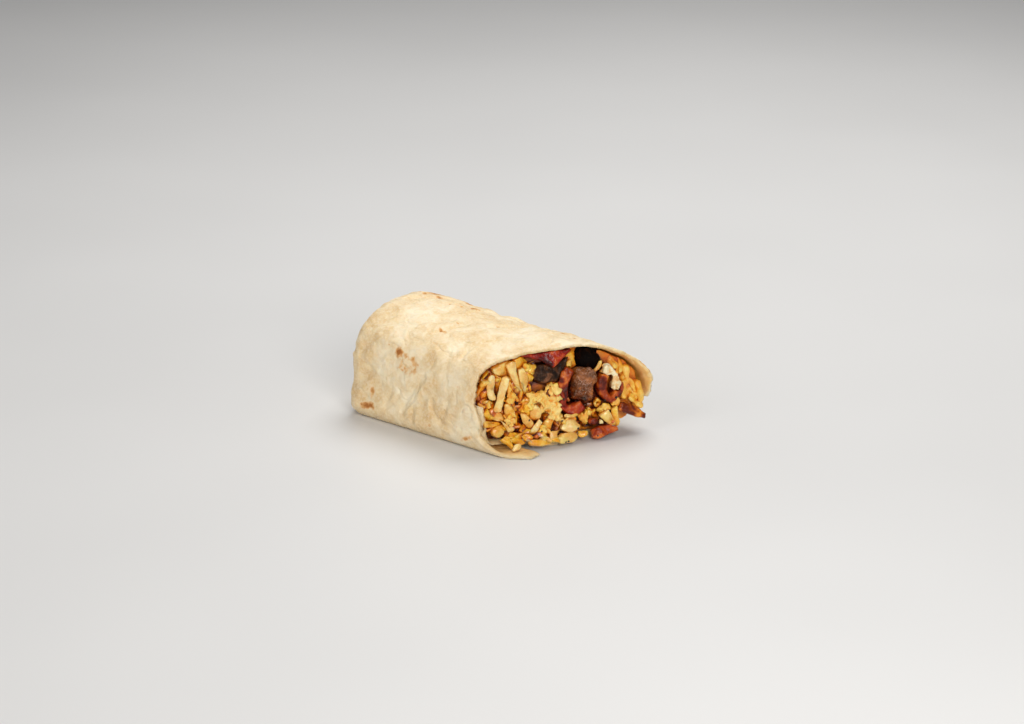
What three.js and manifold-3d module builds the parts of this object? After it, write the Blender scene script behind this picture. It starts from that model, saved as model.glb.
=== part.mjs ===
// Half of a breakfast burrito, cut on the bias and lying on its seam.
// A flour tortilla is rolled one and a quarter turns round hash browns, scrambled egg, bacon and mushrooms.
// Millimetres, +Z up. The closed end points along -X, the cut faces +X and the near wall is at -Y.
import * as THREE from "three";
import { mergeVertices } from "three/addons/utils/BufferGeometryUtils.js";
import Module from "manifold-3d";

const wasm = await Module();
wasm.setup();

// The roll, measured from the middle of the cut
const BODY_LENGTH = 88;
const CENTRE_Y = -2.3;
const NEAR_HALF = 32.4;
const FAR_HALF = 31.8;
const WIDEST_Z = 18.5;
const TOP_RISE = 20;
const BOTTOM_SINK = 1.3;
const NEAR_TOP_POWER = 2.9;
const FAR_TOP_POWER = 2;
const NEAR_BOTTOM_POWER = 7;
const FAR_BOTTOM_POWER = 2.7;
const END_SWELL = 0.075; // the closed end stands this share taller than the cut
const END_LEAN = 2.4; // the near wall leans in above its foot, at the closed end

// The tortilla
const PLY = 1.8;
const PLY_GAP = 0.35;
const FLAP_TURN_BACK = 0.26; // how far past one turn the outer ply runs, at the closed end
const FLAP_TURN_CUT = 0.168; // and at the cut
const STEP_TURN = 0.06; // the stretch in which the sheet comes down beside the flap
const INNER_DEPTH = 2 * PLY + PLY_GAP;

// The closed end
const END_ROUND = 7.5;
const END_POWER = 3;
const FOLD_STEP = 1.2;
const FOLD_OUTER = 0.88;
const FOLD_PITCH = 0.34;

// The cut
const BIAS = THREE.MathUtils.degToRad(31);
const CUT_LEAN = 0.15;
const PAST_CUT = 15; // how far the cutting shapes run in front of the cut, past the flap's tip
const CLEAR = 0.35; // between one piece and the next
const FINEST = 0.1; // detail under this is smoothed away

// Shares of the mesh
const COLUMNS = 48;
const END_SHARES = [0.3, 0.55, 0.75, 0.88, 0.96, 1];
const BODY_SHARES = [0.2, 0.42, 0.64, 0.84, 1];
const GAP_SHARES = [0.02, 0.3, 0.55, 0.75, 0.9, 1];
const GAP_COLUMNS = 16;
const TRIM_COLUMNS = 10;

const deg = THREE.MathUtils.degToRad;
const smooth = (low, high, value) => THREE.MathUtils.smoothstep(value, low, high);
const mix = THREE.MathUtils.lerp;

// A seeded random number from 0 to 1.
function randomFrom(seed) {
  let state = seed;
  return () => {
    state = (state * 1664525 + 1013904223) % 4294967296;
    return state / 4294967296;
  };
}

// Smooth bumps from -1 to 1 at any place.
function bumps(x, y, z) {
  const a = Math.sin(0.9 * x + 1.7 * Math.sin(0.6 * y) + 0.4);
  const b = Math.sin(0.8 * y + 1.3 * Math.sin(0.7 * z) + 1.9);
  const c = Math.sin(1.1 * z + 1.5 * Math.sin(0.5 * x) + 3.1);
  return (a + b + c) / 3;
}

// The roll's outline across its length, as one turn: down the near wall, under it,
// up the far wall and over the top.
function outlineTable() {
  const steps = 1440; // fine enough to measure lengths along it
  const points = [];
  for (let i = 0; i <= steps; i++) {
    const angle = Math.PI + (2 * Math.PI * i) / steps;
    const across = Math.cos(angle);
    const up = Math.sin(angle);
    const near = across < 0;
    const below = up < 0;
    const half = near ? NEAR_HALF : FAR_HALF;
    const rise = below ? WIDEST_Z + BOTTOM_SINK : TOP_RISE;
    const bottomPower = near ? NEAR_BOTTOM_POWER : FAR_BOTTOM_POWER;
    const topPower = near ? NEAR_TOP_POWER : FAR_TOP_POWER;
    const power = below ? bottomPower : topPower;
    const y = CENTRE_Y + half * Math.sign(across) * Math.abs(across) ** (2 / power);
    const z = WIDEST_Z + rise * Math.sign(up) * Math.abs(up) ** (2 / power);
    points.push(new THREE.Vector2(y, Math.max(z, 0)));
  }
  const lengths = [0];
  for (let i = 1; i <= steps; i++) lengths.push(lengths[i - 1] + points[i].distanceTo(points[i - 1]));
  return { points, lengths, total: lengths[steps] };
}
const outline = outlineTable();

function outlineSpot(turn) {
  const wanted = (turn - Math.floor(turn)) * outline.total;
  let low = 0;
  let high = outline.lengths.length - 1;
  while (high - low > 1) {
    const middle = (low + high) >> 1;
    if (outline.lengths[middle] <= wanted) low = middle;
    else high = middle;
  }
  const step = outline.lengths[high] - outline.lengths[low];
  const share = (wanted - outline.lengths[low]) / (step || 1);
  return outline.points[low].clone().lerp(outline.points[high], share);
}

// A place on the outline, moved inwards by a depth.
function insetSpot(turn, depth) {
  const spot = outlineSpot(turn);
  const aside = 0.012;
  const along = outlineSpot(turn + aside).sub(outlineSpot(turn - aside)).normalize();
  return new THREE.Vector2(spot.x - along.y * depth, spot.y + along.x * depth);
}

// Where the knife's plane meets a line along the roll.
const cutX = (y, z) => y * Math.tan(BIAS) - CUT_LEAN * (z - WIDEST_Z);

// How far the outer ply's edge stands out of the knife's plane (or back from it, below zero) round the cut:
// the flap's tongue lies on the table in front, and the far wall's foot is torn back.
const EDGE_REACH = [
  [0, 0], [0.06, 0.5], [0.125, 10], [0.14, 12], [0.168, 10.7], [0.18, 1.5], [0.23, 1],
  [0.28, -2], [0.34, -5], [0.41, -9], [0.46, -7], [0.5, -1], [0.53, 0], [1, 0],
];

function edgeReach(turn, z) {
  const along = turn - Math.floor(turn);
  const next = EDGE_REACH.findIndex(([end]) => end > along);
  const [start, low] = EDGE_REACH[next - 1];
  const [end, high] = EDGE_REACH[next];
  const ragged = 0.4 * Math.sin(61 * along) + 0.25 * Math.sin(137 * along + z * 0.3);
  return mix(low, high, (along - start) / (end - start)) + ragged;
}

// The flap's free edge runs on a slant: further under the roll at the closed end than at the cut.
const flapTurn = (share) => mix(FLAP_TURN_BACK, FLAP_TURN_CUT, smooth(0.2, 1, share));

// The folded end: a lip that winds inwards, each turn a step lower.
function foldDepth(share, turn) {
  const past = turn - FLAP_TURN_BACK;
  const around = past - Math.floor(past);
  const lip = FOLD_OUTER - FOLD_PITCH * around;
  const outer = 1 - smooth(lip - 0.07, lip + 0.03, share);
  const inner = 1 - smooth(lip - FOLD_PITCH - 0.07, lip - FOLD_PITCH + 0.03, share);
  return FOLD_STEP * (outer + inner);
}

const START_X = -BODY_LENGTH + END_ROUND;

// A place on the roll's closed end, from its middle (share 0) to its rim (share 1).
function endSpot(share, turn, depth) {
  const spot = insetSpot(turn, depth);
  const bulge = (1 - share ** END_POWER) ** (1 / END_POWER);
  const x = START_X - (END_ROUND - depth) * bulge + foldDepth(share, turn);
  const y = CENTRE_Y + share * (spot.x - CENTRE_Y);
  const z = WIDEST_Z + share * (spot.y - WIDEST_Z);
  return shaped(x, y, z);
}

// A place along the roll, from where the closed end starts (share 0) to a front (share 1).
function bodySpot(share, turn, depth, front) {
  const spot = insetSpot(turn, depth);
  const x = mix(START_X, cutX(spot.x, spot.y) + front(turn, spot.y), share);
  return shaped(x, spot.x, spot.y);
}

// The roll stands a little taller at its closed end, and its near wall leans in there.
function shaped(x, y, z) {
  const towardsEnd = 1 - smooth(-BODY_LENGTH, 0, x);
  const lean = END_LEAN * towardsEnd * smooth(2, 14, z) * (1 - smooth(-30, 0, y));
  return new THREE.Vector3(x, y + lean, z * (1 + END_SWELL * towardsEnd));
}

// A solid from a list of points and triangles, turned to face outwards.
function solidFrom(points, triangles) {
  const flat = triangles.flat();
  let volume = 0;
  for (let i = 0; i < flat.length; i += 3) {
    volume += points[flat[i]].dot(points[flat[i + 1]].clone().cross(points[flat[i + 2]]));
  }
  if (volume < 0) flat.reverse();
  const geometry = new THREE.BufferGeometry().setFromPoints(points);
  geometry.setIndex(flat);
  return solidOf(geometry);
}

function solidOf(geometry) {
  geometry.deleteAttribute("normal");
  geometry.deleteAttribute("uv");
  const merged = mergeVertices(geometry, 1e-4);
  const triVerts = new Uint32Array(merged.index.array);
  const vertProperties = new Float32Array(merged.attributes.position.array);
  return new wasm.Manifold(new wasm.Mesh({ numProp: 3, vertProperties, triVerts }));
}

// A closed skin over rings of points, with a point at each end.
function loft(rings, first, last) {
  const columns = rings[0].length;
  const points = [first, ...rings.flat(), last];
  const at = (ring, column) => 1 + ring * columns + (column % columns);
  const triangles = [];
  for (let c = 0; c < columns; c++) {
    triangles.push([0, at(0, c + 1), at(0, c)]);
    for (let r = 0; r + 1 < rings.length; r++) {
      triangles.push([at(r, c), at(r, c + 1), at(r + 1, c)]);
      triangles.push([at(r, c + 1), at(r + 1, c + 1), at(r + 1, c)]);
    }
    triangles.push([points.length - 1, at(rings.length - 1, c), at(rings.length - 1, c + 1)]);
  }
  return solidFrom(points, triangles);
}

// A closed slab between two grids of points.
function slab(outer, inner) {
  const rows = outer.length;
  const columns = outer[0].length;
  const points = [...outer.flat(), ...inner.flat()];
  const at = (side, row, column) => side * rows * columns + row * columns + column;
  const triangles = [];
  const quad = (a, b, c, d) => triangles.push([a, b, c], [a, c, d]);
  for (let r = 0; r + 1 < rows; r++) {
    for (let c = 0; c + 1 < columns; c++) {
      quad(at(0, r, c), at(0, r, c + 1), at(0, r + 1, c + 1), at(0, r + 1, c));
      quad(at(1, r, c), at(1, r + 1, c), at(1, r + 1, c + 1), at(1, r, c + 1));
    }
    quad(at(0, r, 0), at(0, r + 1, 0), at(1, r + 1, 0), at(1, r, 0));
    const end = columns - 1;
    quad(at(0, r, end), at(1, r, end), at(1, r + 1, end), at(0, r + 1, end));
  }
  const back = rows - 1;
  for (let c = 0; c + 1 < columns; c++) {
    quad(at(0, 0, c), at(1, 0, c), at(1, 0, c + 1), at(0, 0, c + 1));
    quad(at(0, back, c), at(0, back, c + 1), at(1, back, c + 1), at(1, back, c));
  }
  return solidFrom(points, triangles);
}

// Numbers spread evenly from one to another.
const spread = (from, to, steps) => Array.from({ length: steps + 1 }, (_, i) => mix(from, to, i / steps));

const turns = spread(0, 1, COLUMNS).slice(0, -1);
const fillingTurns = turns.filter((_, i) => i % 2 === 0);

// The whole roll, cut off at its front.
function rollSolid(grow) {
  const front = (turn, z) => edgeReach(turn, z) + grow;
  const rings = [
    ...END_SHARES.map((share) => turns.map((turn) => endSpot(share, turn, -grow))),
    ...BODY_SHARES.map((share) => turns.map((turn) => bodySpot(share, turn, -grow, front))),
  ];
  const middle = new THREE.Vector3(0, CENTRE_Y, WIDEST_Z);
  return loft(rings, endSpot(0, 0, -grow), middle);
}

// How thick the wall is: two plies down the near wall to the flap's edge, and one elsewhere.
function wallDepth(turn, share) {
  const along = turn - Math.floor(turn);
  const edge = flapTurn(share);
  return mix(INNER_DEPTH, PLY, smooth(edge, edge + STEP_TURN, along));
}

// A solid that fills the wall from the closed end to past the cut, clear of it by a margin.
// The inner ply's free edge is a step in it, at the start of the turn.
function insideSolid(margin) {
  const beforeEdge = 0.9985;
  const columns = [...turns, beforeEdge];
  const depth = (turn, share) => (turn > 0.9 ? PLY : wallDepth(turn, share)) + margin;
  const end = (share) => columns.map((turn) => endSpot(share, turn, depth(turn, 0)));
  const body = (share) => columns.map((turn) => bodySpot(share, turn, depth(turn, share), () => PAST_CUT));
  const middle = new THREE.Vector3(cutX(CENTRE_Y, WIDEST_Z) + PAST_CUT, CENTRE_Y, WIDEST_Z);
  const pole = endSpot(0, 0, INNER_DEPTH + margin);
  return loft([...END_SHARES.slice(1).map(end), ...BODY_SHARES.map(body)], pole, middle);
}

// The gap between the two plies. It starts above the inner ply's free edge, opens towards the cut
// and comes out on the underside, beside the flap.
const GAP_START = -0.02;

function plyGap() {
  const open = 0.8;
  const outThrough = 0.01;
  const grid = (depthAt) =>
    GAP_SHARES.map((share) => {
      const edge = flapTurn(share);
      const columns = spread(GAP_START, edge + STEP_TURN, GAP_COLUMNS);
      return columns.map((turn) => bodySpot(share, turn, depthAt(turn, edge, share), () => PAST_CUT));
    });
  const outside = (turn, edge) => mix(PLY, -0.6, smooth(edge, edge + outThrough, turn));
  const inside = (turn, edge, share) => {
    const depth = PLY + PLY_GAP + open * share ** 4 * smooth(0.05, 0.1, turn);
    return mix(depth, -0.4, smooth(edge + outThrough, edge + STEP_TURN, turn));
  };
  return slab(grid(outside), grid(inside));
}

// What the knife took off the inner ply, in front of its wavy edge.
function innerPlyTrim() {
  const columns = spread(GAP_START, FLAP_TURN_CUT, TRIM_COLUMNS);
  const edge = (turn) => 0.5 - 1.2 * Math.sin(22 * turn);
  const row = (depth, front) => columns.map((turn) => bodySpot(1, turn, depth, front));
  const grid = (depth) => [row(depth, edge), row(depth, () => PAST_CUT + 2)];
  return slab(grid(PLY + 0.1), grid(INNER_DEPTH + 0.8));
}

function tortillaSolid(grow) {
  return largest(rollSolid(grow).subtract(insideSolid(grow)).subtract(innerPlyTrim()));
}

// The largest body of a solid, without loose scraps.
function largest(solid) {
  return solid.decompose().reduce((best, body) => (body.volume() > best.volume() ? body : best));
}

// A solid's largest body, without its finest detail.
const tidied = (solid, finest = FINEST) => largest(largest(solid).asOriginal().simplify(finest));

// A place on the cut: across and up the roll, and out of the cut.
function onCut(y, z, out) {
  return new THREE.Vector3(cutX(y, z) + out / Math.cos(BIAS), y, z);
}

// Turns a piece so that its X runs along the cut, its Y up the cut and its Z out of it.
function cutTurn() {
  const alongCut = new THREE.Vector3(Math.sin(BIAS), Math.cos(BIAS), 0);
  const outOfCut = new THREE.Vector3(Math.cos(BIAS), -Math.sin(BIAS), CUT_LEAN).normalize();
  const upCut = outOfCut.clone().cross(alongCut).normalize();
  const matrix = new THREE.Matrix4().makeBasis(alongCut, upCut, outOfCut);
  return new THREE.Quaternion().setFromRotationMatrix(matrix);
}
const CUT_TURN = cutTurn();

// Places a geometry on the cut, turned in the cut by an angle and tilted out of it.
function place(geometry, y, z, out, turned = 0, tilt = 0, roll = 0) {
  const own = new THREE.Quaternion().setFromEuler(new THREE.Euler(roll, tilt, turned, "ZYX"));
  const turn = CUT_TURN.clone().multiply(own);
  const matrix = new THREE.Matrix4().compose(onCut(y, z, out), turn, new THREE.Vector3(1, 1, 1));
  return geometry.applyMatrix4(matrix);
}

// Moves each vertex of a geometry by a function of its place.
function reshape(geometry, move) {
  const position = geometry.attributes.position;
  const spot = new THREE.Vector3();
  for (let i = 0; i < position.count; i++) {
    spot.fromBufferAttribute(position, i);
    move(spot);
    position.setXYZ(i, spot.x, spot.y, spot.z);
  }
  return geometry;
}

// One shred of potato: a flat strip, bent and tapered at its ends.
function shred(length, width, thick, bend, grow) {
  const geometry = new THREE.BoxGeometry(length + 2 * grow, width + 2 * grow, thick + 2 * grow, 3, 1, 1);
  return reshape(geometry, (p) => {
    const share = (2 * p.x) / length;
    p.y *= 1 - 0.2 * share ** 2;
    p.z += bend * (share ** 2 - 0.4);
    p.y += 0.5 * bend * share;
  });
}

// An uneven lump, such as a curd of egg. A roundness under 1 makes it blocky.
function lump(length, height, deep, uneven, seed, grow, detail, roundness = 1) {
  const geometry = new THREE.IcosahedronGeometry(1, detail);
  const blocky = (side) => Math.sign(side) * Math.abs(side) ** roundness;
  return reshape(geometry, (p) => {
    const swell = 1 + uneven * bumps(3 * p.x + seed, 3 * p.y - seed, 3 * p.z + 2 * seed);
    p.x = blocky(p.x) * ((length * swell) / 2 + grow);
    p.y = blocky(p.y) * ((height * swell) / 2 + grow);
    p.z = blocky(p.z) * ((deep * swell) / 2 + grow);
  });
}

// A flat piece with an outline of its own and its edge rounded by a bevel.
function slice(outlinePoints, thick, grow) {
  const bevel = 0.6;
  const geometry = new THREE.ExtrudeGeometry(new THREE.Shape(outlinePoints), {
    depth: thick - 2 * bevel,
    bevelThickness: bevel + grow,
    bevelSize: bevel + grow,
    bevelOffset: -bevel,
    bevelSegments: 1,
    steps: 1,
  });
  return geometry.translate(0, 0, -thick / 2 + bevel);
}

// A point of a piece's outline, from its place on the cut.
const seen = ([y, z]) => new THREE.Vector2(y / Math.cos(BIAS), z);

// A strip seen on its edge: its outline runs along both sides of a curve.
function bandOutline(path, thick) {
  const curve = new THREE.SplineCurve(path.map(seen));
  const count = 2 * path.length;
  const side = (way) =>
    Array.from({ length: count + 1 }, (_, i) => {
      const share = i / count;
      const tangent = curve.getTangent(share);
      const half = way * (thick / 2) * (1 + 0.2 * Math.sin(9 * share));
      return curve.getPoint(share).add(new THREE.Vector2(-tangent.y * half, tangent.x * half));
    });
  return [...side(1), ...side(-1).reverse()];
}

// Lays an outline that was drawn on the cut at a depth under it, leaning by two angles.
function onFace(geometry, out, pitch = 0, yaw = 0) {
  geometry.computeBoundingBox();
  const middle = geometry.boundingBox.getCenter(new THREE.Vector3());
  geometry.translate(-middle.x, -middle.y, -middle.z);
  return place(geometry, middle.x * Math.cos(BIAS), middle.y, out, 0, deg(yaw), deg(pitch));
}

// The pieces in the filling, each grown by a margin for the pocket that it lies in.
// Outlines are drawn as the cut shows them: across the roll and up from the table.
const PIECES = {
  bacon_top: (grow) => {
    const points = [
      [-17, 37], [-8, 38.4], [2.6, 37.6], [2.2, 35], [-1.4, 32.4], [-4.6, 29.9], [-8.2, 32.8], [-12.5, 34.6],
    ];
    return onFace(slice(points.map(seen), 2.4, grow), -0.9, -16);
  },
  mushroom_slice: (grow) => {
    const points = [
      [-11.8, 31.4], [-12.2, 29.3], [-11, 25.8], [-7.4, 23.4], [-2.6, 23], [0.6, 25.4], [1.6, 28.6],
      [3, 32.4], [-0.2, 31.4], [-5.4, 30.6],
    ];
    return onFace(slice(points.map(seen), 4.4, grow), -3.6, -14);
  },
  mushroom_dark: (grow) => place(lump(11.6, 11.2, 12, 0.12, 1, grow, 2), 12.2, 29.4, -7.6),
  mushroom_chunk: (grow) => place(lump(10, 13.4, 11.6, 0.16, 4, grow, 2, 0.75), 6.8, 20.9, -3.4, deg(-6)),
  bacon_curl_middle: (grow) => {
    const path = [
      [1.4, 28.5], [-0.5, 26], [-1.5, 22.4], [-1.5, 18.6], [-1.9, 15.6],
      [-1, 13.2], [1, 12.2], [3.4, 12.6], [5.2, 13.8],
    ];
    return onFace(slice(bandOutline(path, 3.8), 7, grow), -2.6);
  },
  bacon_fat_right: (grow) => {
    const path = [[12, 26.8], [14.3, 26], [15.9, 23.8], [16.6, 21.2], [15.6, 18.4]];
    return onFace(slice(bandOutline(path, 2.9), 4.4, grow), -0.6);
  },
  bacon_curl_right: (grow) => {
    const path = [
      [13.6, 24.8], [12, 21.8], [11.9, 18.8], [13, 15.8], [14.8, 14.3], [16.9, 15.6], [18, 18], [17.6, 20.2],
    ];
    return onFace(slice(bandOutline(path, 3.2), 6, grow), -2);
  },
  bacon_strip_right: (grow) => {
    const points = [
      [15.1, 10.5], [16.4, 13.3], [20.5, 11.4], [24.9, 7], [24.3, 5], [21.2, 6.5], [17.8, 8.6],
    ];
    return onFace(slice(points.map(seen), 2.2, grow), 0.6, -20, 10);
  },
  bacon_crumb_front: (grow) => {
    const points = [
      [4.1, 4.3], [4.3, 1.1], [5.8, 0.3], [9.2, 1.1], [13.6, 2.4], [13.4, 4], [10, 5.3], [6.6, 5.2],
    ];
    return onFace(slice(points.map(seen), 4, grow), 1.3, -14);
  },
  bacon_bit_small: (grow) => place(lump(4.4, 2.8, 3.4, 0.2, 7, grow, 1), 5.4, 7.4, 0.9, deg(-12)),
};

// Where egg fills the roll: the middle and the far side, above a layer of potato.
const EGG_OUTLINE = [
  [-10.5, 60], [-11.5, 30], [-11.5, 20], [-10, 14], [-3, 10.5], [9, 11.5], [16, 9],
  [20, 4], [21, -5], [60, -5], [60, 60],
];

function eggRegion(grow) {
  const shape = new THREE.Shape(EGG_OUTLINE.map(([y, z]) => new THREE.Vector2(y, z)));
  const geometry = new THREE.ExtrudeGeometry(shape, { depth: 240, bevelEnabled: false });
  geometry.translate(0, 0, -150);
  const alongRoll = new THREE.Vector3(1, 0, 0);
  const across = new THREE.Vector3(0, 1, 0);
  const up = new THREE.Vector3(0, 0, 1);
  geometry.applyMatrix4(new THREE.Matrix4().makeBasis(across, up, alongRoll));
  return solidOf(geometry.translate(0, -grow, -grow));
}

// How far the filling stands out of the cut: hollow under the top, and spilling forward at its foot.
function fillingReach(y, z) {
  const underTop = 6 * smooth(31, 37, z);
  const roundMushrooms = 3 * smooth(24, 30, z) * smooth(-2, 3, y) * (1 - smooth(10, 14, y));
  const spill = 4.5 * (1 - smooth(4, 10, z)) * smooth(-27, -20, y) * (1 - smooth(-14, 2, y));
  return -1.9 - underTop - roundMushrooms + spill + 0.8 * bumps(0, 0.55 * y, 0.6 * z);
}

// The filling's core, grown by a margin.
function fillingSolid(grow) {
  const depth = (turn, share) => wallDepth(turn, share) + CLEAR + 0.3 - grow;
  const end = (share) => fillingTurns.map((turn) => endSpot(share, turn, depth(turn, 0)));
  const body = (share) => fillingTurns.map((turn) => bodySpot(share, turn, depth(turn, share), () => -4));
  const face = (share) =>
    fillingTurns.map((turn) => {
      const rim = insetSpot(turn, depth(turn, 1));
      const y = mix(CENTRE_Y, rim.x, share);
      const z = mix(WIDEST_Z, rim.y, share);
      return shaped(cutX(y, z) + fillingReach(y, z) + grow, y, z);
    });
  const middleReach = fillingReach(CENTRE_Y, WIDEST_Z) + grow;
  const middle = new THREE.Vector3(cutX(CENTRE_Y, WIDEST_Z) + middleReach, CENTRE_Y, WIDEST_Z);
  const rings = [
    ...[0.5, 0.85, 1].map(end),
    ...[0.35, 0.65, 0.9].map(body),
    ...[1, 0.82, 0.6, 0.35].map(face),
  ];
  return loft(rings, endSpot(0, 0, INNER_DEPTH + CLEAR - grow), middle);
}

// The shreds that show best: across, up, angle in degrees, length, width and reach out of the cut.
const SHREDS_SEEN = [
  [-24.2, 32.4, 51, 8.6, 5.2, -0.2],
  [-28.7, 27, -91, 12.4, 2.8, 0.4],
  [-26.2, 23.1, -111, 14.4, 3.4, 1.2],
  [-19.8, 28.1, -79, 13.6, 3.2, 0.6],
  [-16.6, 28.6, -89, 16, 3.8, 0],
  [-28.6, 15.6, -18, 8.4, 4, 0.6],
  [-29, 12.8, 7, 7.4, 2.8, 0.9],
  [-23.4, 16.3, -60, 8.4, 3.9, 0.8],
  [-25.4, 9.4, -48, 6.4, 3.2, 1.2],
  [-27.6, 8.7, -63, 6.8, 3.6, 0.8],
  [-18.7, 17.8, -15, 7.6, 3.3, 0.6],
  [-15.1, 13.7, -78, 7.6, 4.2, 1.2],
  [-16.6, 8.8, -140, 8.6, 3.5, 1.8],
  [-18.4, 11.6, -55, 8.4, 3.5, 1],
  [-12.7, 4.2, -23, 8.4, 3.8, 3],
  [-25.8, 4.9, -50, 7, 2.4, 1.6],
  [-23, 3.4, -63, 5.4, 2.6, 2.4],
  [-6.9, 4.3, 1, 8, 4, 2.6],
  [-4.7, 8.1, 5, 8.6, 4, 1.6],
  [-2.9, 11.6, -18, 7.6, 2.2, 1],
  [10.2, 10.2, -26, 7.2, 4.8, 1.2],
  [12.8, 6.8, 18, 5, 3, 1],
];

// The curds that show best, given the same way.
const CURDS_SEEN = [
  [-8.2, 21.6, -20, 8, 6.4, 0.2],
  [-7.4, 16.8, -70, 8, 6, 0.4],
  [-9.6, 13, 20, 6, 5, 0.6],
  [-6.6, 12.2, -40, 5.6, 4.4, 1],
  [1.1, 10.2, -45, 6, 4.6, 0.6],
  [15.9, 29.2, -66, 9.6, 4.4, -2],
  [19.8, 21.4, -86, 14, 4.6, -1.4],
  [22.8, 18.6, -68, 7.4, 4.4, -0.8],
  [22.6, 11.6, -38, 8.4, 4.8, 0],
  [15.4, 12.8, 10, 5.4, 4.4, -0.2],
];

// Places over the cut on a jittered grid, where a rule keeps them.
function scatter(step, random, keep) {
  const spots = [];
  for (let z = 3; z < 37; z += step) {
    for (let y = -31; y < 28; y += step) {
      const spot = [y + (random() - 0.5) * step, z + (random() - 0.5) * step];
      if (keep(...spot)) spots.push(spot);
    }
  }
  return spots;
}

// Whether a spot on the cut lies inside the roll's outline by a margin.
function insideOutline(y, z, margin) {
  const near = y < CENTRE_Y;
  const below = z < WIDEST_Z;
  const across = Math.abs(y - CENTRE_Y) / ((near ? NEAR_HALF : FAR_HALF) - margin);
  const up = Math.abs(z - WIDEST_Z) / ((below ? WIDEST_Z : TOP_RISE) - margin);
  const bottomPower = near ? NEAR_BOTTOM_POWER : FAR_BOTTOM_POWER;
  const topPower = near ? NEAR_TOP_POWER : FAR_TOP_POWER;
  const power = below ? bottomPower : topPower;
  return across ** power + up ** power < 1;
}

// Spots that the scattered filling leaves free for the bacon and the mushrooms: across, up and radius.
const KEPT_CLEAR = [
  [-12, 35, 4.5], [-5, 33.5, 6], [-8, 27.5, 5], [-2, 28, 5], [10.6, 30.6, 6.8], [6.4, 21.4, 7],
  [-1.5, 24, 4.2], [0, 14, 4.2], [14.4, 22, 5.4], [14.6, 16.6, 4], [20, 9.5, 3], [9, 3.5, 4], [5.4, 7.4, 2.4],
];
const isFree = (y, z, taken) => taken.every(([cy, cz, radius]) => Math.hypot(y - cy, z - cz) > radius);

function shredSolids(grow) {
  const random = randomFrom(11);
  const made = SHREDS_SEEN.map(([y, z, angle, length, width, out], i) => {
    const front = out + 1.3;
    const back = Math.min(out - 1.3, fillingReach(y, z) - 0.6);
    const lift = i % 2 ? 7 : -7;
    const geometry = shred(length, width, front - back, 0.5, grow);
    return solidOf(place(geometry, y, z, (front + back) / 2, deg(angle), deg(lift), deg(8)));
  });
  // Potato fills the near side and lies along the foot of the rest.
  const isPotato = (y, z) => y < -13 || z < (y < 16 ? 9.5 : 5);
  const taken = [...KEPT_CLEAR, ...SHREDS_SEEN.map(([y, z]) => [y, z, 3])];
  const keep = (y, z) => insideOutline(y, z, 3.6) && isPotato(y, z) && isFree(y, z, taken);
  for (const [y, z] of scatter(3.3, random, keep)) {
    const upright = y < -14 && z > 14;
    const angle = (upright ? 80 : 5) + (random() - 0.5) * 90;
    const geometry = shred(8 + 5 * random(), 3 + random(), 2.2, 1.6 * random() - 0.8, grow);
    const out = fillingReach(y, z) + 0.2 + random();
    const lift = deg(6 + 12 * random()) * (random() < 0.5 ? -1 : 1);
    made.push(solidOf(place(geometry, y, z, out, deg(angle), lift, lift)));
  }
  return made;
}

function curdSolids() {
  const random = randomFrom(29);
  const made = CURDS_SEEN.map(([y, z, angle, length, width, out], i) =>
    solidOf(place(lump(length, width, 5.4, 0.36, 2 * i, 0, 1), y, z, out - 0.6, deg(angle))),
  );
  const isEgg = (y, z) => y > -10 && z > (y < 16 ? 12 : 6);
  const taken = [...KEPT_CLEAR, ...CURDS_SEEN.map(([y, z]) => [y, z, 2.6])];
  const keep = (y, z) => insideOutline(y, z, 3) && isEgg(y, z) && isFree(y, z, taken);
  for (const [y, z] of scatter(3.3, random, keep)) {
    const length = 4.4 + 4 * random();
    const geometry = lump(length, 3.2 + 1.8 * random(), 5, 0.38, 9 * random(), 0, 1);
    const out = fillingReach(y, z) + 0.8 * random();
    made.push(solidOf(place(geometry, y, z, out, deg(180 * random()))));
  }
  return made;
}

// Cuts off what would reach the table.
function aboveTable(solid) {
  const deep = 100;
  const table = new THREE.BoxGeometry(300, 300, deep).translate(0, 0, 0.2 - deep / 2);
  return solid.subtract(solidOf(table));
}

const MATERIALS = {
  tortilla: { color: 0xe6d3a6, roughness: 0.8 },
  hash_browns: { color: 0xe0b566, roughness: 0.45 },
  scrambled_egg: { color: 0xedbe4c, roughness: 0.5 },
  bacon: { color: 0x96351b, roughness: 0.35 },
  fat: { color: 0xdcb98a, roughness: 0.4 },
  mushroom: { color: 0x5b4435, roughness: 0.4 },
};

function meshOf(name, solid, look) {
  const made = solid.getMesh();
  const geometry = new THREE.BufferGeometry();
  geometry.setAttribute("position", new THREE.BufferAttribute(made.vertProperties, 3));
  geometry.setIndex(new THREE.BufferAttribute(made.triVerts, 1));
  geometry.computeVertexNormals();
  const material = new THREE.MeshStandardMaterial({ ...MATERIALS[look], metalness: 0 });
  const mesh = new THREE.Mesh(geometry, material);
  mesh.name = name;
  return mesh;
}

const burrito = new THREE.Group();

const tortilla = tidied(tortillaSolid(0).subtract(plyGap()), FINEST / 5);
burrito.add(meshOf("tortilla", tortilla, "tortilla"));

const wallAndMargin = tortillaSolid(CLEAR);
const opening = insideSolid(CLEAR);
const pockets = [];
for (const [name, build] of Object.entries(PIECES)) {
  let piece = aboveTable(solidOf(build(0)).subtract(wallAndMargin));
  for (const pocket of pockets) piece = piece.subtract(pocket);
  const look = name === "bacon_fat_right" ? "fat" : name.split("_")[0];
  burrito.add(meshOf(name, tidied(piece), look));
  pockets.push(solidOf(build(CLEAR)));
}

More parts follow.
